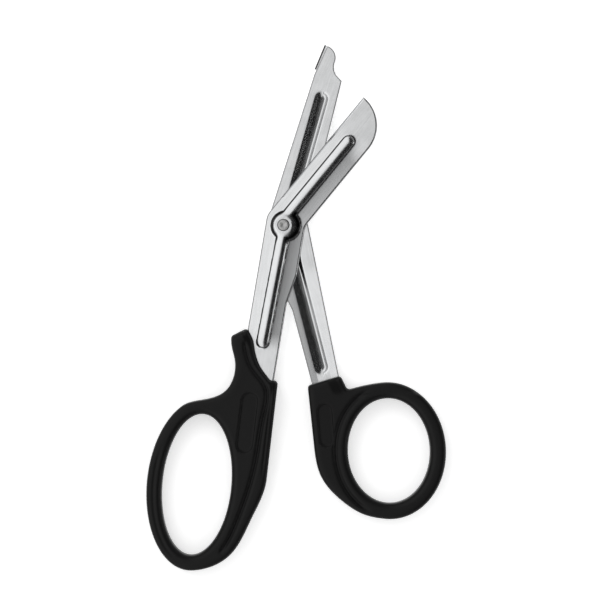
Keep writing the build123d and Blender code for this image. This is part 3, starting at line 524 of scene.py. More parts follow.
def beside(points, ribs, width):
    """Distance from the foot of the nearest rib, each of which starts at the rivet, and how far each place lies past
    the end of its rib."""
    gaps, past = [], []
    for lean, across, end in ribs:
        along, aside = on(lean, points)
        same_way = along * np.sign(end)
        gaps.append(np.maximum(np.hypot(aside - across, np.minimum(same_way, 0)) - width / 2, 0))
        past.append(same_way - abs(end))
    closest = np.argmin(gaps, axis=0)[None]
    return [np.take_along_axis(np.array(values), closest, 0)[0] for values in (gaps, past)]


def sheet_grid(left, right, near, middle):
    """Points across a sheet, row by row from its left side to its right: close together near both sides, at the
    given distances in, and evenly spaced between. A row of no width is a single place."""
    width = np.linalg.norm(right - left, axis=1)
    scale = np.minimum(1.0, width / (NARROW_ROW * near[-1]))[:, None]
    from_left = near[None] * scale
    share = np.linspace(0, 1, middle + 2)[1:-1]
    between = from_left[:, -1:] + (width[:, None] - 2 * from_left[:, -1:]) * share[None]
    place = np.concatenate([from_left, between, width[:, None] - from_left[:, ::-1]], axis=1)
    direction = (right - left) / np.maximum(width, 1e-9)[:, None]
    return left[:, None] + place[..., None] * direction[:, None], place / np.maximum(width, 1e-9)[:, None]


def sheet_solid(grid, outer, inner):
    """A closed sheet from a grid of places and its two faces' heights: once round each section, capped at both
    ends."""
    rows, columns = grid.shape[:2]
    section = np.concatenate([np.dstack([grid, outer]), np.dstack([grid, inner])[:, ::-1]], axis=1)
    number = np.arange(rows * 2 * columns).reshape(rows, 2 * columns)
    caps = [np.stack([row[:columns - 1], row[1:columns], row[::-1][1:columns], row[::-1][:columns - 1]], axis=1)
            for row in (number[0], number[-1])]
    return section, [grid_faces(rows, 2 * columns, True), *caps]


def stations(pairs):
    """Both sides of a sheet from pairs of places, left and right, with rows evenly spaced from pair to pair."""
    sides = []
    for (left_a, right_a), (left_b, right_b) in zip(pairs[:-1], pairs[1:]):
        run = max(np.linalg.norm(left_b - left_a), np.linalg.norm(right_b - right_a))
        share = np.linspace(0, 1, int(run / SHEET_STEP) + 2)[:-1, None]
        sides.append((left_a + (left_b - left_a) * share, right_a + (right_b - right_a) * share))
    sides.append((pairs[-1][0][None], pairs[-1][1][None]))
    return np.concatenate([s[0] for s in sides]), np.concatenate([s[1] for s in sides])


def rim_distances(grid, left, right, edge_lean, edge_across):
    """Each place's distance from the sheared rim alone, and from the whole rim with its ground edge."""
    rim = np.concatenate([left[::-1], right])
    along, across = on(edge_lean, rim)
    ground = np.flatnonzero((np.abs(across - edge_across) <= ON_EDGE) & (along >= EDGE_START))
    runs = [run for run in np.split(rim, [ground[0], ground[-1] + 1]) if len(run) > 1]
    distance = np.min([nearest(grid, run)[0] for run in runs], axis=0)
    return distance, np.minimum(distance, nearest(grid, rim[ground])[0])


def painted_shade(grid, raised, from_rim, shift):
    """How much painted shade darkens each place of a section: near the rim on both faces and, on the outer one, along
    the foot of what is pressed, where the line is wider on the steep sides of a shifted boss."""
    rim = np.clip(1 - from_rim / RIM_WIDTH, 0, 1)
    distance = np.linalg.norm(grid, axis=-1)
    steep = smooth_step(np.abs(grid @ np.array(shift)) / STEEP_SHIFT / distance)
    steep *= smooth_step((STEEP_REACH - distance) / STEEP_RUN)
    away = np.abs(raised - LINE_HEIGHT - STEEP_HEIGHT * steep) / (LINE_SPAN + STEEP_SPAN * steep)
    line = np.clip(2.0 - away, 0, 1) * (raised > NOT_FLAT)
    return np.concatenate([np.maximum(rim, line), rim[:, ::-1]], axis=1)


def blade_solid(left, right, ribs, edge, settings, side, shift):
    """A pressed blade. Its outer face is the sheet's thickness plus what is pressed, less the rounded rim, the
    ground bevel and the fall that the press leaves beside a rib: steepest at the rib's foot and dying away as an
    exponential. Its inner face has the hollows of the same forms."""
    grid, share = sheet_grid(left, right, NEAR_EDGE, SHEET_COLUMNS)
    edge_lean, edge_across, edge_end, inward = edge
    distance, from_rim = rim_distances(grid, left, right, edge_lean, edge_across)
    width, height = settings.rib_width / MM, settings.rib_height / MM
    boss_radius, boss_height = settings.boss_radius / MM, settings.boss_height / MM
    gap, past = beside(grid, ribs, width)
    slope = settings.flank_slope * (1 + FALL_GAIN * smooth_step(-grid[..., 1] / FALL_GAIN_RUN))
    fall = slope * FALL_REACH * (1 - np.exp(-gap / FALL_REACH)) * (1 - smooth_step((past + FALL_END) / FALL_END_RUN))
    raised = pressed(grid, ribs, width, height, boss(grid, boss_radius, BOSS_FLAT_RADIUS, boss_height, shift))
    along, across = on(edge_lean, grid)
    ground = BEVEL_DEPTH * np.clip(1 - (across - edge_across) * inward / BEVEL_WIDTH, 0, 1)
    ground *= smooth_step((along - EDGE_START) / BEVEL_RUN_IN) * (along < edge_end)
    outer = SHEET + raised - (np.maximum(quarter_round(distance, settings.edge_round / MM), ground) + fall)
    hollow = boss(grid, boss_radius - HOLLOW_INSET, BOSS_FLAT_RADIUS - HOLLOW_INSET, boss_height, shift)
    inner = pressed(grid, ribs, width + settings.groove_extra / MM, height, hollow, trough=side < 0)
    if side < 0:
        lip = smooth_step((-on(REAR_SHANK_LEAN, grid)[0] - LIP_START) / LIP_RUN)
        inner += LIP_SHARE * slope * np.maximum(LIP_WIDTH - gap, 0) * lip
    inner += quarter_round(distance, INNER_ROUND)
    level = RIVET[2] + side * BLADE_GAP / 2
    points, faces = sheet_solid(grid, level + side * outer, level + side * np.minimum(inner, outer - THINNEST))
    flow = np.dstack([share * np.linalg.norm(right - left, axis=1)[:, None],
                      np.broadcast_to(lengths(grid.mean(1))[:, None], share.shape), np.zeros_like(share)])
    # rim carries painted shade along the rim and at the foot of what is pressed
    return points, faces, {"rim": painted_shade(grid, raised, from_rim, shift),
                           "flow": np.concatenate([flow, flow[:, ::-1]], axis=1)}


def front_blade_sides():
    """Left and right side of the front blade, from its tip, a quarter circle about a point on the cutting edge,
    down past the knee and the step to the end of its tang."""
    radius = FRONT_SPINE - FRONT_EDGE
    turn = np.radians(np.linspace(90, 0, 60))[:-1]
    tip_left = at(FRONT_LEAN, FRONT_TIP + radius * np.sin(turn), FRONT_EDGE)
    tip_right = at(FRONT_LEAN, FRONT_TIP + radius * np.sin(turn), FRONT_EDGE + radius * np.cos(turn))
    left_knee = crossing(FRONT_LEAN, FRONT_EDGE, FRONT_SHANK_LEAN, FRONT_SHANK_LEFT)
    right_knee = crossing(FRONT_LEAN, FRONT_SPINE, FRONT_SHANK_LEAN, FRONT_SHANK_RIGHT)
    pairs = [(at(FRONT_LEAN, FRONT_TIP, FRONT_EDGE), at(FRONT_LEAN, FRONT_TIP, FRONT_SPINE)),
             (left_knee, right_knee)]
    for along, right in ((FRONT_STEP_START, FRONT_SHANK_RIGHT), (FRONT_STEP_END, FRONT_SHANK_NARROW),
                         (FRONT_TANG_END, FRONT_SHANK_NARROW)):
        pairs.append((at(FRONT_SHANK_LEAN, along, FRONT_SHANK_LEFT), at(FRONT_SHANK_LEAN, along, right)))
    left, right = stations(pairs)
    left = ease_corner(np.concatenate([tip_left, left]), left_knee, KNEE_ROUND)
    right = ease_corner(np.concatenate([tip_right, right]), right_knee, KNEE_ROUND)
    for corner in (pairs[2][1], pairs[3][1]):
        right = ease_corner(right, corner, STEP_ROUND)
    return left, right


def rear_blade_sides():
    """Left and right side of the rear blade, from the end of its blunt nose past the neck, the heel, the knee and
    the step to the end of its tang."""
    nose_end, side = FOOT_START + FOOT_LENGTH, NOSE_WIDTH - FOOT_STEP
    turn = np.radians(np.linspace(0, 90, 40))
    along = nose_end - NOSE_ROUND * (1 - np.cos(turn))
    left_corner = [[0, nose_end - FOOT_CORNER, nose_end], [0, FOOT_SETBACK - FOOT_STEP, side - NOSE_ROUND]]
    nose = probe(along, np.interp(along, *left_corner)), probe(along, side - NOSE_ROUND * (1 - np.sin(turn)))
    heel = at(REAR_EDGE_LEAN, REAR_EDGE_LENGTH, REAR_EDGE)
    flare = smooth_curve([nose[1][-1], probe(along[-1] - FLARE_LENGTH, side + FLARE_WIDTH), heel],
                         at(FOOT_LEAN, -1, 0), at(FOOT_LEAN, -1, 2))
    root = np.linspace(nose[0][-1], probe(0, 0), len(flare))
    left_knee = crossing(REAR_SPINE_LEAN, REAR_SPINE, REAR_SHANK_LEAN, REAR_SHANK_LEFT)
    right_knee = crossing(REAR_EDGE_LEAN, REAR_EDGE, REAR_SHANK_LEAN, REAR_SHANK_RIGHT)
    pairs = [(probe(0, 0), heel), (left_knee, right_knee)]
    for lean, along, left in ((REAR_SHANK_LEAN, REAR_STEP_START, REAR_SHANK_LEFT),
                              (REAR_NARROW_LEAN, REAR_STEP_END, REAR_NARROW_LEFT),
                              (REAR_NARROW_LEAN, REAR_TANG_END, REAR_NARROW_LEFT)):
        pairs.append((at(lean, along, left), at(REAR_SHANK_LEAN, along, REAR_SHANK_RIGHT)))
    left, right = stations(pairs)
    left = ease_corner(np.concatenate([nose[0], root[1:-1], left]), left_knee, KNEE_ROUND)
    right = ease_corner(np.concatenate([nose[1], flare[1:-1], right]), right_knee, KNEE_ROUND)
    for corner in (pairs[2][0], pairs[3][0]):
        left = ease_corner(left, corner, STEP_ROUND)
    return left, right


def foot_solid():
    """The folded foot: an angle section, its outside bent on a radius, carried along the nose's outer side and
    rounded at its lower corners, where the section is cut by a quarter circle seen from the side. Only the bend is
    darkened by painted shade, and the wall below it is as bright as the sheet."""
    top = RIVET[2] - BLADE_GAP / 2 - FOOT_SINK
    lap = top - SHEET + FOOT_LIFT
    turn = np.radians(np.linspace(0, 90, 9))
    outside = np.stack([FOOT_BEND - FOOT_BEND * np.cos(turn), top - FOOT_BEND + FOOT_BEND * np.sin(turn)], axis=1)
    hollow = np.array([FOOT_THICKNESS + FOOT_INNER_BEND, lap - FOOT_INNER_BEND])
    inner = hollow + FOOT_INNER_BEND * np.stack([-np.cos(turn[::-1]), np.sin(turn[::-1])], axis=1)
    wall = np.linspace(0, top - FOOT_BEND, 14)[:-1]
    section = np.concatenate([np.stack([np.zeros_like(wall), wall], axis=1), outside,
                              [[FOOT_LAP, top], [FOOT_LAP, lap]], inner,
                              np.stack([np.full_like(wall, FOOT_THICKNESS), wall[::-1]], axis=1)])
    end = FOOT_START + FOOT_LENGTH
    rounding = FOOT_ROUND * (1 - np.cos(turn))
    place = np.concatenate([FOOT_START + rounding, end - rounding[::-1]])
    side_on = np.concatenate([rounding, rounding[::-1]])
    floor = FOOT_ROUND - np.sqrt(np.maximum(FOOT_ROUND ** 2 - (FOOT_ROUND - side_on) ** 2, 0))
    rows = np.broadcast_to(section[None], (len(place), *section.shape)).copy()
    rows[..., 1] = np.maximum(rows[..., 1], floor[:, None])
    flat = probe(place[:, None], rows[..., 0] - FOOT_STEP)
    points = np.dstack([flat, rows[..., 1]])
    count = section.shape[0]
    ends = [np.arange(count)[None], (np.arange(count) + (len(place) - 1) * count)[None]]
    # painted shade on the bend
    rim = np.clip((FOOT_BEND - rows[..., 0]) / FOOT_SHADE_RUN, 0, 1)
    rim *= smooth_step((rows[..., 1] - top + FOOT_BEND) / FOOT_SHADE_RISE)
    return points, [grid_faces(len(place), count, True), *ends], {"rim": rim}


def turned_solid(profile):
    """A turned form: its profile of radius and height swept once round the rivet's axis, closed at both poles, and
    darkened by painted shade along its head's edge."""
    angle = np.linspace(0, 2 * np.pi, TURNED_STEPS, endpoint=False)
    ring = np.stack([np.cos(angle), np.sin(angle)], axis=1)
    points = np.concatenate([profile[:, None, :1] * ring[None],
                             np.broadcast_to(profile[:, None, 1:], (len(profile), TURNED_STEPS, 1))], axis=2)
    rim = np.clip(1.2 - np.abs(profile[:, 0] - HEAD_SHADE_RADIUS) / HEAD_SHADE_SPAN, 0, 1)
    return points, [grid_faces(*points.shape[:2], True)], {"rim": np.repeat(rim[:, None], TURNED_STEPS, axis=1)}


def rivet_profile():
    """The rivet from its formed head below to its peened head above: a shank between two low domes, the upper one
    dished in the middle by the punch."""
    turn = np.radians(np.linspace(0, 90, 8))
    out = np.stack([RIVET_HEAD_RADIUS - HEAD_ROUND * (1 - np.sin(turn)), HEAD_ROUND * (1 - np.cos(turn))], axis=1)
    level = RIVET_HEAD_TOP - RIVET_HEAD_HEIGHT
    low = RIVET_HEAD_LOW + RIVET_HEAD_HEIGHT
    radius = np.linspace(0, RIVET_HEAD_RADIUS - HEAD_ROUND, 14)[:-1]
    lower = np.concatenate([np.stack([radius, np.zeros_like(radius)], axis=1), out]) + [0, RIVET_HEAD_LOW]
    dish = DISH_DEPTH * (1 - smooth_step(radius / DISH_RADIUS))
    dish += CROWN_FALL * smooth_step((radius - CROWN_RADIUS) / CROWN_RUN)
    upper = np.concatenate([np.stack([radius, -dish], axis=1),
                            out * [1, -1] - [0, CROWN_FALL]]) + [0, RIVET_HEAD_TOP]
    middle = [[RIVET_HEAD_RADIUS, low], [RIVET_RADIUS, low], [RIVET_RADIUS, level], [RIVET_HEAD_RADIUS, level]]
    return np.concatenate([lower, middle, upper[::-1]])


def straights(*corners):
    """Evenly spaced points along straight lines from corner to corner."""
    runs = [even(np.array(pair, float), CURVE_STEP) for pair in zip(corners[:-1], corners[1:])]
    return np.concatenate([runs[0], *[run[1:] for run in runs[1:]]])


def closed_ring(runs, corners):
    """One evenly spaced ring from runs that follow on from one another, with the named corners rounded."""
    ring = np.concatenate([runs[0], *[run[1:] for run in runs[1:]]])
    for corner in corners:
        ring = ease_corner(ring, np.array(corner), CORNER_ROUND)
    return even(ring, RING_STEP, closed=True)


def front_handle_ring():
    """The front handle's outline: the loop's outer ellipse, the curved belly, the straight side, the mouth beside
    the blade and the horn."""
    arc = round_loop(FRONT_LOOP, np.linspace(*FRONT_LOOP["arc"], 260), FRONT_LOOP["wall"])
    heel, belly = (round_loop(FRONT_LOOP, *place) for place in (FRONT_HEEL_ROUND, FRONT_BELLY_ROUND))
    side = np.subtract(FRONT_SHOULDER, FRONT_SIDE_LOW)
    belly_curve = smooth_curve([arc[-1], heel, belly, FRONT_SIDE_LOW], arc[-1] - arc[-2], side)
    mouth = smooth_curve([MOUTH_LOW, MOUTH_MIDDLE, MOUTH_HIGH, HORN_FRONT], np.subtract(MOUTH_MIDDLE, MOUTH_LOW),
                         np.subtract(HORN_TIP, HORN_FRONT))
    waist = smooth_curve([HORN_BACK, HORN_WAIST, HORN_ROOT, round_loop(FRONT_LOOP, *FRONT_TOP_ROUND), arc[0]],
                         np.subtract(HORN_BACK, HORN_CORNER), arc[1] - arc[0])
    return closed_ring([arc, belly_curve, straights(FRONT_SIDE_LOW, FRONT_SHOULDER, MOUTH_LOW), mouth,
                        straights(HORN_FRONT, HORN_TIP, HORN_CORNER, HORN_BACK), waist],
                       (MOUTH_LOW, FRONT_SHOULDER, HORN_TIP, HORN_CORNER))


def rear_handle_ring():
    """The rear handle's outline: the loop's outer ellipse, the run into the notch, the end beside the blade, the
    straight side and the curved heel."""
    arc = round_loop(REAR_LOOP, np.linspace(*REAR_LOOP["arc"], 260), REAR_LOOP["wall"])
    run = smooth_curve([arc[-1], REAR_NOTCH], arc[-1] - arc[-2], np.subtract(REAR_NOTCH, arc[-1]) + NOTCH_DIP)
    heel = [round_loop(REAR_LOOP, *place) for place in (REAR_BELLY_ROUND, REAR_HEEL_ROUND, REAR_HEEL_END_ROUND)]
    belly = smooth_curve([REAR_SIDE_LOW, *heel, arc[0]], np.subtract(REAR_SIDE_LOW, REAR_CORNER), arc[1] - arc[0])
    return closed_ring([arc, run, straights(REAR_NOTCH, REAR_PEAK, REAR_CORNER, REAR_SIDE_LOW), belly],
                       (REAR_NOTCH, REAR_PEAK, REAR_CORNER))


def inset(ring, distance):
    """A closed ring moved inwards: each point goes along its normal, which is square to its neighbours' chord."""
    chord = np.roll(ring, -1, axis=0) - np.roll(ring, 1, axis=0)
    normal = np.stack([-chord[:, 1], chord[:, 0]], axis=1) / np.linalg.norm(chord, axis=1)[:, None]
    area = (ring[:, 0] * np.roll(ring[:, 1], -1) - ring[:, 1] * np.roll(ring[:, 0], -1)).sum()
    return ring + np.sign(area) * distance * normal


def wall_profile(radius):
    """A moulded wall from the under face to the upper one: rounded below, upright, and rounded above, as pairs of
    distance inwards and height."""
    turn = np.radians(np.linspace(90, 0, 8))
    low = np.stack([radius * (1 - np.cos(turn)), radius * (1 - np.sin(turn))], axis=1)
    upright = np.stack([np.zeros(7), np.linspace(radius, GRIP_TOP - radius, 9)[1:-1]], axis=1)
    return np.concatenate([low, upright, (low * [1, -1] + [0, GRIP_TOP])[::-1]])


def panel_ring(panel, distance):
    """A bare panel's rounded outline, grown by a distance: a slot with half-round ends."""
    length, width = panel["size"]
    turn = np.linspace(0, np.pi, 24)
    radius = width / 2 + distance
    reach = length / 2 - width / 2
    along = np.concatenate([reach + radius * np.sin(turn), -reach - radius * np.sin(turn)])
    across = np.concatenate([radius * np.cos(turn), -radius * np.cos(turn)])
    return np.array(panel["middle"]) + at(panel["lean"], along, across)


def panel_drop(points, panel):
    """How deep a panel's floor lies, with a short slope at its rim."""
    length, width = panel["size"]
    along, across = on(panel["lean"], points - np.array(panel["middle"]))
    reach = length / 2 - width / 2
    outside = np.hypot(np.maximum(np.abs(along) - reach, 0), across) - width / 2
    return PANEL_DEPTH * smooth_step(0.5 - outside / PANEL_RUN)


def crease_drop(points, path, width, depth, fade):
    """A crease's depth: a rounded valley over the distance from its path, which fades out at both ends."""
    distance, along, _ = nearest(points, path)
    ends = smooth_step(along / fade) * smooth_step((lengths(path)[-1] - along) / fade)
    return depth * ends * np.exp(-(distance / (width / 2)) ** 2)


def cap(outer, opening, extra, spacing, height):
    """A handle's upper or under face: a fine mesh of places between its outline and its opening, on a staggered
    grid with extra places along creases, joined up by Delaunay's rule and then raised to a height."""
    low, high = outer.min(0), outer.max(0)
    column, row = np.meshgrid(np.arange(low[0], high[0], spacing), np.arange(low[1], high[1], spacing * ROW_SPACING))
    column = column + (np.arange(len(row)) % 2 * spacing / 2)[:, None]
    lattice = np.stack([column.ravel(), row.ravel()], axis=1)
    clear = 0.45 * spacing
    lattice = np.concatenate([lattice[np.min([nearest(lattice, path)[0] for path in extra], axis=0) > clear]
                              if extra else lattice, *extra])
    lattice = lattice[inside(lattice, outer) & ~inside(lattice, opening)]
    rims = [np.concatenate([ring, ring[:1]]) for ring in (outer, opening)]
    lattice = lattice[np.min([nearest(lattice, rim)[0] for rim in rims], axis=0) > clear]
    places = np.concatenate([outer, opening, lattice])
    ring_ends = [(0, len(outer)), (len(outer), len(outer) + len(opening))]
    edges = [pair for a, b in ring_ends for pair in zip(range(a, b), [*range(a + 1, b), a])]
    made = delaunay_2d_cdt([Vector(p) for p in places.tolist()], edges, [], 1, 1e-6)
    flat = np.array([tuple(p) for p in made[0]])
    faces = np.array(made[2])
    return np.column_stack([flat, height(flat)]), [faces[~inside(flat[faces].mean(1), opening)]]


def handle_solid(ring, loop, creases, panel, slopes, settings):
    """A moulded handle: a wall profile carried round the outline and round the opening, and two faces between
    them. Creases, panel, slopes and a fall towards the outline are taken off the upper half."""
    edge_round, loop_round = settings.edge_round / MM, settings.loop_round / MM
    count = int(round(lengths(round_loop(loop, np.linspace(0, 360, 200), 0))[-1] / OPENING_STEP))
    opening = round_loop(loop, np.linspace(0, 360, count, endpoint=False), 0)
    outline = np.concatenate([ring, ring[:1]])
    half = GRIP_TOP / 2

    def drop(flat):
        shoulder = settings.shoulder_drop / MM * np.clip(1 - nearest(flat, outline)[0] / SHOULDER_WIDTH, 0, 1) ** 2
        moulded = sum(crease_drop(flat, *crease) for crease in creases) + panel_drop(flat, panel)
        return moulded + slopes(flat) + shoulder

    walls = []
    for path, radius, sense in ((ring, edge_round, 1), (opening, loop_round, -1)):
        rows = [(inset(path, sense * distance), height) for distance, height in wall_profile(radius)]
        share = [np.clip((height - half) / (half - edge_round), 0, 1) for _, height in rows]
        points = np.array([np.column_stack([flat, height - drop(flat) * part])
                           for (flat, height), part in zip(rows, share)])
        walls.append((points, [grid_faces(len(rows), len(path), True)]))
    extra = []
    for path, *_ in creases:
        run = np.gradient(path, axis=0)
        normal = np.stack([run[:, 1], -run[:, 0]], axis=1) / np.linalg.norm(run, axis=1)[:, None]
        extra += [path + offset * normal for offset in CREASE_OFFSETS]
    extra += [np.concatenate([r, r[:1]]) for r in (panel_ring(panel, offset) for offset in PANEL_OFFSETS)]
    extra = [even(path, CREASE_STEP) for path in extra]
    rims = inset(ring, edge_round), inset(opening, -loop_round)
    upper = cap(*rims, extra, UPPER_SPACING, lambda flat: GRIP_TOP - drop(flat))
    under = cap(*rims, [], UNDER_SPACING, lambda flat: np.zeros(len(flat)))
    return [*walls, upper, under]


def front_handle_parts(settings):
    """The front handle, with its long crease, the sloping band beside the blade, the bevelled end of the horn, the
    faint lines round the outer side of the loop and along the straight side, and the bare panel."""
    loop_part = [round_loop(FRONT_LOOP, *place) for place in LOOP_CREASE_ROUND]
    crease = smooth_curve([*HORN_CREASE, *loop_part], HORN_CREASE_START,
                          at(FRONT_LOOP["lean"] + LOOP_CREASE_TURN, -1, 0), CREASE_STEP)
    loop_line = round_loop(FRONT_LOOP, np.linspace(*LOOP_LINE_ARC, 140), FRONT_LOOP["wall"] - LOOP_LINE_INSET)
    rail = even(np.array([FRONT_SHOULDER, FRONT_SIDE_LOW]) - RAIL_INSET, 0.5)
    horn_top = np.array([HORN_CORNER, HORN_TIP])

    def slopes(flat):
        _, along, side = nearest(flat, crease)
        band = BAND_SLOPE * np.clip(-side, 0, BAND_WIDTH) * smooth_step((BAND_END - along) / BAND_FADE)
        return band + HORN_BEVEL_SLOPE * np.clip(HORN_BEVEL_WIDTH - nearest(flat, horn_top)[0], 0, HORN_BEVEL_WIDTH)

    creases = [(crease, FRONT_CREASE_WIDTH, settings.crease_depth / MM, FRONT_CREASE_FADE),
               (loop_line, *LOOP_LINE_FORM), (rail, *RAIL_FORM)]
    return handle_solid(front_handle_ring(), FRONT_LOOP, creases, FRONT_PANEL, slopes, settings)


def rear_handle_parts(settings):
    """The rear handle, with the crease that follows the thumb loop, the small facet at its upper right corner and
    the bare panel."""
    crease = round_loop(REAR_LOOP, np.linspace(*REAR_CREASE_ARC, 150), REAR_CREASE_WALL)

    def slopes(flat):
        facet = FACET_SLOPE * np.clip(on(FACET_LEAN, flat - np.array(FACET_START))[0], 0, FACET_WIDTH)
        return facet * smooth_step((flat[:, 1] - FACET_LOW) / FACET_FADE)

    creases = [(crease, REAR_CREASE_WIDTH, settings.crease_depth / MM, REAR_CREASE_FADE)]
    return handle_solid(rear_handle_ring(), REAR_LOOP, creases, REAR_PANEL, slopes, settings)


class BladeSettings(bpy.types.PropertyGroup):
    """Sizes and finish of the two blades and the rivet."""

    rib_width: FloatProperty(name="Rib width", description="Width of a pressed rib at its foot",
                             default=4.8 * MM, unit="LENGTH")
    rib_height: FloatProperty(name="Rib height", description="Height of a pressed rib above the sheet",
                              default=1.0 * MM, unit="LENGTH")
    groove_extra: FloatProperty(name="Groove extra width", description="How much wider the hollow is than the rib",
                                default=0.1 * MM, unit="LENGTH")
    boss_radius: FloatProperty(name="Boss radius", description="Radius of the boss round the rivet at its foot",
                               default=5.5 * MM, unit="LENGTH")
    boss_height: FloatProperty(name="Boss height", description="Height of the boss above the sheet",
                               default=1.25 * MM, unit="LENGTH")
    edge_round: FloatProperty(name="Edge round", description="Radius of the sheet's tumbled rim",
                              default=0.55 * MM, unit="LENGTH")
    flank_slope: FloatProperty(name="Slope beside ribs", description="Slope of the sheet at a rib's foot",
                               default=0.078)
    colour: FloatVectorProperty(name="Steel", description="Colour that the steel gives its reflections",
                                default=linear("#E2E3E4"), size=4, subtype="COLOR")
    rivet_colour: FloatVectorProperty(name="Rivet steel", description="Colour of the peened rivet",
                                      default=linear("#BCBCBB"), size=4, subtype="COLOR")


class HandleSettings(bpy.types.PropertyGroup):
    """Sizes and finish of the two handles."""

    edge_round: FloatProperty(name="Edge round", description="Radius along the outline", default=1.2 * MM,
                              unit="LENGTH")
    loop_round: FloatProperty(name="Loop round", description="Radius along the finger openings", default=2.2 * MM,
                              unit="LENGTH")
    shoulder_drop: FloatProperty(name="Shoulder", description="Fall of the face towards its edge",
                                 default=0.3 * MM, unit="LENGTH")
    crease_depth: FloatProperty(name="Crease depth", description="Depth of the moulded creases",
                                default=0.75 * MM, unit="LENGTH")
    colour: FloatVectorProperty(name="Plastic", description="Colour of the moulded plastic",
                                default=linear("#0C0C0C"), size=4, subtype="COLOR")


class StudioSettings(bpy.types.PropertyGroup):
    """Camera, floor and light."""

    view_width: FloatProperty(name="View width", description="Width of the picture at the blades",
                              default=216 * MM, unit="LENGTH")
    camera_height: FloatProperty(name="Camera height", description="Height of the camera above the table",
                                 default=1.3, unit="LENGTH")
    surround: FloatProperty(name="Surround", description="Brightness of the daylight all round", default=0.84)
    key_power: FloatProperty(name="Key lamp", description="Power of the soft lamp, upper left", default=3.5,
                             unit="POWER")
    floor_colour: FloatVectorProperty(name="Floor", description="Colour of the white table",
                                      default=linear("#F6F6F6"), size=4, subtype="COLOR")
    floor_lift: FloatProperty(name="Floor lift", description="Glow that lifts the seen floor to white", default=0.42)


class SCISSORS_OT_front_blade(bpy.types.Operator):
    """Make the front blade, which shows its ribbed outer face"""

    bl_idname = "scissors.front_blade"
    bl_label = "Front blade"

    def execute(self, context):
        settings = context.scene.scissors_blades
        ribs = [(FRONT_LEAN, FRONT_RIB, FRONT_RIB_END),
                (FRONT_SHANK_RIB_LEAN, FRONT_SHANK_RIB, FRONT_SHANK_RIB_END)]
        edge = (FRONT_LEAN, FRONT_EDGE, 1000.0, 1)
        solid = blade_solid(*front_blade_sides(), ribs, edge, settings, 1, BOSS_SHIFT)
        steel = steel_material("tumbled_stainless_front", settings.colour, *TUMBLED)
        make_piece("front_blade_pressed", [solid], "front_blade", "front_half", steel)
        return {"FINISHED"}


class SCISSORS_OT_rear_blade(bpy.types.Operator):
    """Make the rear blade, which shows its grooved inner face, with its folded foot"""

    bl_idname = "scissors.rear_blade"
    bl_label = "Rear blade"

    def execute(self, context):
        settings = context.scene.scissors_blades
        ribs = [(REAR_RIB_LEAN, REAR_RIB, REAR_RIB_END), (REAR_SHANK_RIB_LEAN, REAR_SHANK_RIB, REAR_SHANK_RIB_END)]
        edge = (REAR_EDGE_LEAN, REAR_EDGE, REAR_EDGE_LENGTH, -1)
        solid = blade_solid(*rear_blade_sides(), ribs, edge, settings, -1, (0.0, 0.0))
        steel = steel_material("tumbled_stainless_rear", settings.colour, *TUMBLED)
        make_piece("rear_blade_pressed", [solid, foot_solid()], "rear_blade", "rear_half", steel)
        return {"FINISHED"}


class SCISSORS_OT_rivet(bpy.types.Operator):
    """Make the peened rivet"""

    bl_idname = "scissors.rivet"
    bl_label = "Rivet"

    def execute(self, context):
        settings = context.scene.scissors_blades
        steel = steel_material("peened_stainless", settings.rivet_colour, *PEENED)
        make_piece("peened_rivet", [turned_solid(rivet_profile())], "pivot_rivet", "rear_half", steel)
        return {"FINISHED"}


class SCISSORS_OT_handles(bpy.types.Operator):
    """Make the two moulded handles"""

    bl_idname = "scissors.handles"
    bl_label = "Handles"

    def execute(self, context):
        settings = context.scene.scissors_handles
        plastic = plastic_material("moulded_black_abs", settings.colour)
        for name, parts, node, body in (
                ("front_handle_moulded", front_handle_parts, "front_handle", "front_half"),
                ("rear_handle_moulded", rear_handle_parts, "rear_handle", "rear_half")):
            make_piece(name, parts(settings), node, body, plastic)
        return {"FINISHED"}


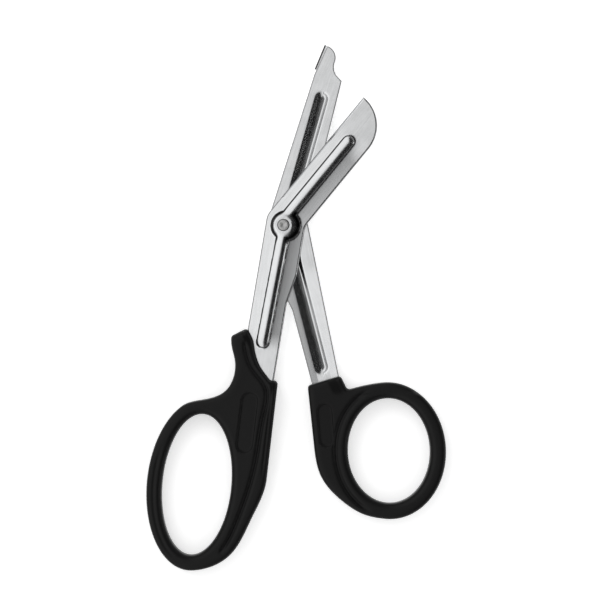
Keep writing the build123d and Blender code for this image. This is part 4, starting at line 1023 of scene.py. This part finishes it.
class SCISSORS_OT_studio(bpy.types.Operator):
    """Set up the white table, the tent, the lamp and the camera"""

    bl_idname = "scissors.studio"
    bl_label = "Studio"

    def execute(self, context):
        settings = context.scene.scissors_studio
        self.floor(settings)
        self.tent()
        self.lights(context.scene, settings)
        self.camera(context.scene, settings)
        context.scene.view_settings.view_transform = "Standard"
        return {"FINISHED"}

    @staticmethod
    def floor(settings):
        """A large white sheet of paper on the table. What the camera and the steel see of it is lifted to white by a
        faint glow, over which the object's shadow still lies. From below it is clear, so that the underside shows."""
        mesh = bpy.data.meshes.new("white_table")
        corners = [(x * TABLE_REACH, y * TABLE_REACH, TABLE_LEVEL) for x, y in ((-1, -1), (1, -1), (1, 1), (-1, 1))]
        mesh.from_pydata(corners, [], [(0, 1, 2, 3)])
        material, tree, output = new_material("matt_white_paper")
        paper = add_node(tree, "ShaderNodeBsdfDiffuse", Color=tuple(settings.floor_colour))
        seen = add_node(tree, "ShaderNodeLightPath")
        glossy = add_node(tree, "ShaderNodeMath", [(seen.outputs["Is Camera Ray"], 0),
                                                   (seen.outputs["Is Glossy Ray"], 1)], operation="MAXIMUM")
        either = add_node(tree, "ShaderNodeMath", [(glossy.outputs["Value"], 0),
                                                   (seen.outputs["Is Transmission Ray"], 1)], operation="MAXIMUM")
        lift = add_node(tree, "ShaderNodeMath", [(either.outputs["Value"], 0)], operation="MULTIPLY")
        lift.inputs[1].default_value = settings.floor_lift
        glow = add_node(tree, "ShaderNodeEmission", [(lift.outputs["Value"], "Strength")])
        both = add_node(tree, "ShaderNodeAddShader", [(paper.outputs["BSDF"], 0), (glow.outputs["Emission"], 1)])
        side = add_node(tree, "ShaderNodeNewGeometry")
        clear = add_node(tree, "ShaderNodeBsdfTransparent")
        sided = add_node(tree, "ShaderNodeMixShader", [(side.outputs["Backfacing"], 0), (both.outputs["Shader"], 1),
                                                       (clear.outputs["BSDF"], 2)])
        tree.links.new(sided.outputs["Shader"], output.inputs["Surface"])
        mesh.materials.append(material)
        floor = stand("white_table", mesh)

    @staticmethod
    def tent():
        """A tent over the table, which only the gloss sees. Its tones follow the direction from the table's middle:
        the eased steps of each patch are multiplied, and the patches are added up."""
        turn, rise = np.meshgrid(np.linspace(0, 2 * np.pi, 73)[:-1], np.radians(np.linspace(0, 89.5, 30)))
        dome = np.stack([np.cos(rise) * np.cos(turn), np.cos(rise) * np.sin(turn), np.sin(rise)], axis=-1)
        mesh = bpy.data.meshes.new("graded_tent")
        mesh.from_pydata((TENT_RADIUS * dome).reshape(-1, 3).tolist(), [], grid_faces(*turn.shape, True).tolist())
        material, tree, output = new_material("graded_tent_cloth")
        place = add_node(tree, "ShaderNodeTexCoord").outputs["Object"]
        unit = add_node(tree, "ShaderNodeVectorMath", [(place, "Vector")], operation="NORMALIZE")
        split = add_node(tree, "ShaderNodeSeparateXYZ", [(unit.outputs["Vector"], "Vector")])
        total = None
        for patch in TENT_PATCHES:
            product = None
            for axis, low, high, at_low, at_high in patch:
                tone = add_node(tree, "ShaderNodeMapRange", [(split.outputs[axis], "Value")],
                                interpolation_type="SMOOTHSTEP")
                for socket, value in (("From Min", low), ("From Max", high), ("To Min", at_low), ("To Max", at_high)):
                    tone.inputs[socket].default_value = value
                product = tone.outputs["Result"] if product is None else add_node(
                    tree, "ShaderNodeMath", [(product, 0), (tone.outputs["Result"], 1)],
                    operation="MULTIPLY").outputs["Value"]
            total = product if total is None else add_node(
                tree, "ShaderNodeMath", [(total, 0), (product, 1)]).outputs["Value"]
        glow = add_node(tree, "ShaderNodeEmission", [(total, "Strength")])
        tree.links.new(glow.outputs["Emission"], output.inputs["Surface"])
        mesh.materials.append(material)
        tent = stand("graded_tent", mesh)
        tent.visible_camera = tent.visible_diffuse = tent.visible_shadow = tent.visible_transmission = False

    @staticmethod
    def lights(scene, settings):
        """White daylight all round, and one soft lamp at the upper left, which the steel sees only as the tent."""
        scene.world = bpy.data.worlds.new("white_daylight")
        scene.world.use_nodes = True
        background = scene.world.node_tree.nodes["Background"]
        background.inputs["Color"].default_value = (1, 1, 1, 1)
        background.inputs["Strength"].default_value = settings.surround
        lamp = bpy.data.lights.new("soft_lamp", "AREA")
        lamp.shape, lamp.size, lamp.energy = "DISK", LAMP_SIZE, settings.key_power
        key = stand("soft_lamp", lamp)
        key.location = LAMP_PLACE
        key.rotation_euler = Vector(LAMP_PLACE).to_track_quat("Z", "Y").to_euler()
        key.visible_glossy = False

    @staticmethod
    def camera(scene, settings):
        """A long lens straight above the middle of the photograph's frame, with +Y up."""
        middle = (RIVET[:2] + VIEW_MIDDLE) * MM
        data = bpy.data.cameras.new("camera")
        data.lens = data.sensor_width * (settings.camera_height - RIVET[2] * MM) / settings.view_width
        data.clip_end = 20.0
        scene.camera = stand("camera", data)
        scene.camera.location = (*middle, settings.camera_height)


class SCISSORS_PT_panel(bpy.types.Panel):
    """Sidebar panel with every step and its sizes"""

    bl_label = "Bandage scissors"
    bl_space_type = "VIEW_3D"
    bl_region_type = "UI"
    bl_category = "Scissors"

    def draw(self, context):
        scene = context.scene
        for settings in (scene.scissors_blades, scene.scissors_handles, scene.scissors_studio):
            box = self.layout.box()
            for name in settings.bl_rna.properties.keys():
                if name not in ("rna_type", "name"):
                    box.prop(settings, name)
        for operator in OPERATORS:
            self.layout.operator(operator.bl_idname)


OPERATORS = (SCISSORS_OT_front_blade, SCISSORS_OT_rear_blade, SCISSORS_OT_rivet, SCISSORS_OT_handles,
             SCISSORS_OT_studio)
CLASSES = (BladeSettings, HandleSettings, StudioSettings, *OPERATORS, SCISSORS_PT_panel)


def register():
    """Register the classes and hang the settings on the scene."""
    for cls in CLASSES:
        bpy.utils.register_class(cls)
    bpy.types.Scene.scissors_blades = PointerProperty(type=BladeSettings)
    bpy.types.Scene.scissors_handles = PointerProperty(type=HandleSettings)
    bpy.types.Scene.scissors_studio = PointerProperty(type=StudioSettings)


def unregister():
    """Take the settings and the classes away again."""
    for name in ("scissors_blades", "scissors_handles", "scissors_studio"):
        delattr(bpy.types.Scene, name)
    for cls in reversed(CLASSES):
        bpy.utils.unregister_class(cls)


def main():
    """Register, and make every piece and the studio."""
    register()
    bpy.ops.scissors.front_blade()
    bpy.ops.scissors.rear_blade()
    bpy.ops.scissors.rivet()
    bpy.ops.scissors.handles()
    bpy.ops.scissors.studio()


if __name__ == "__main__":
    main()
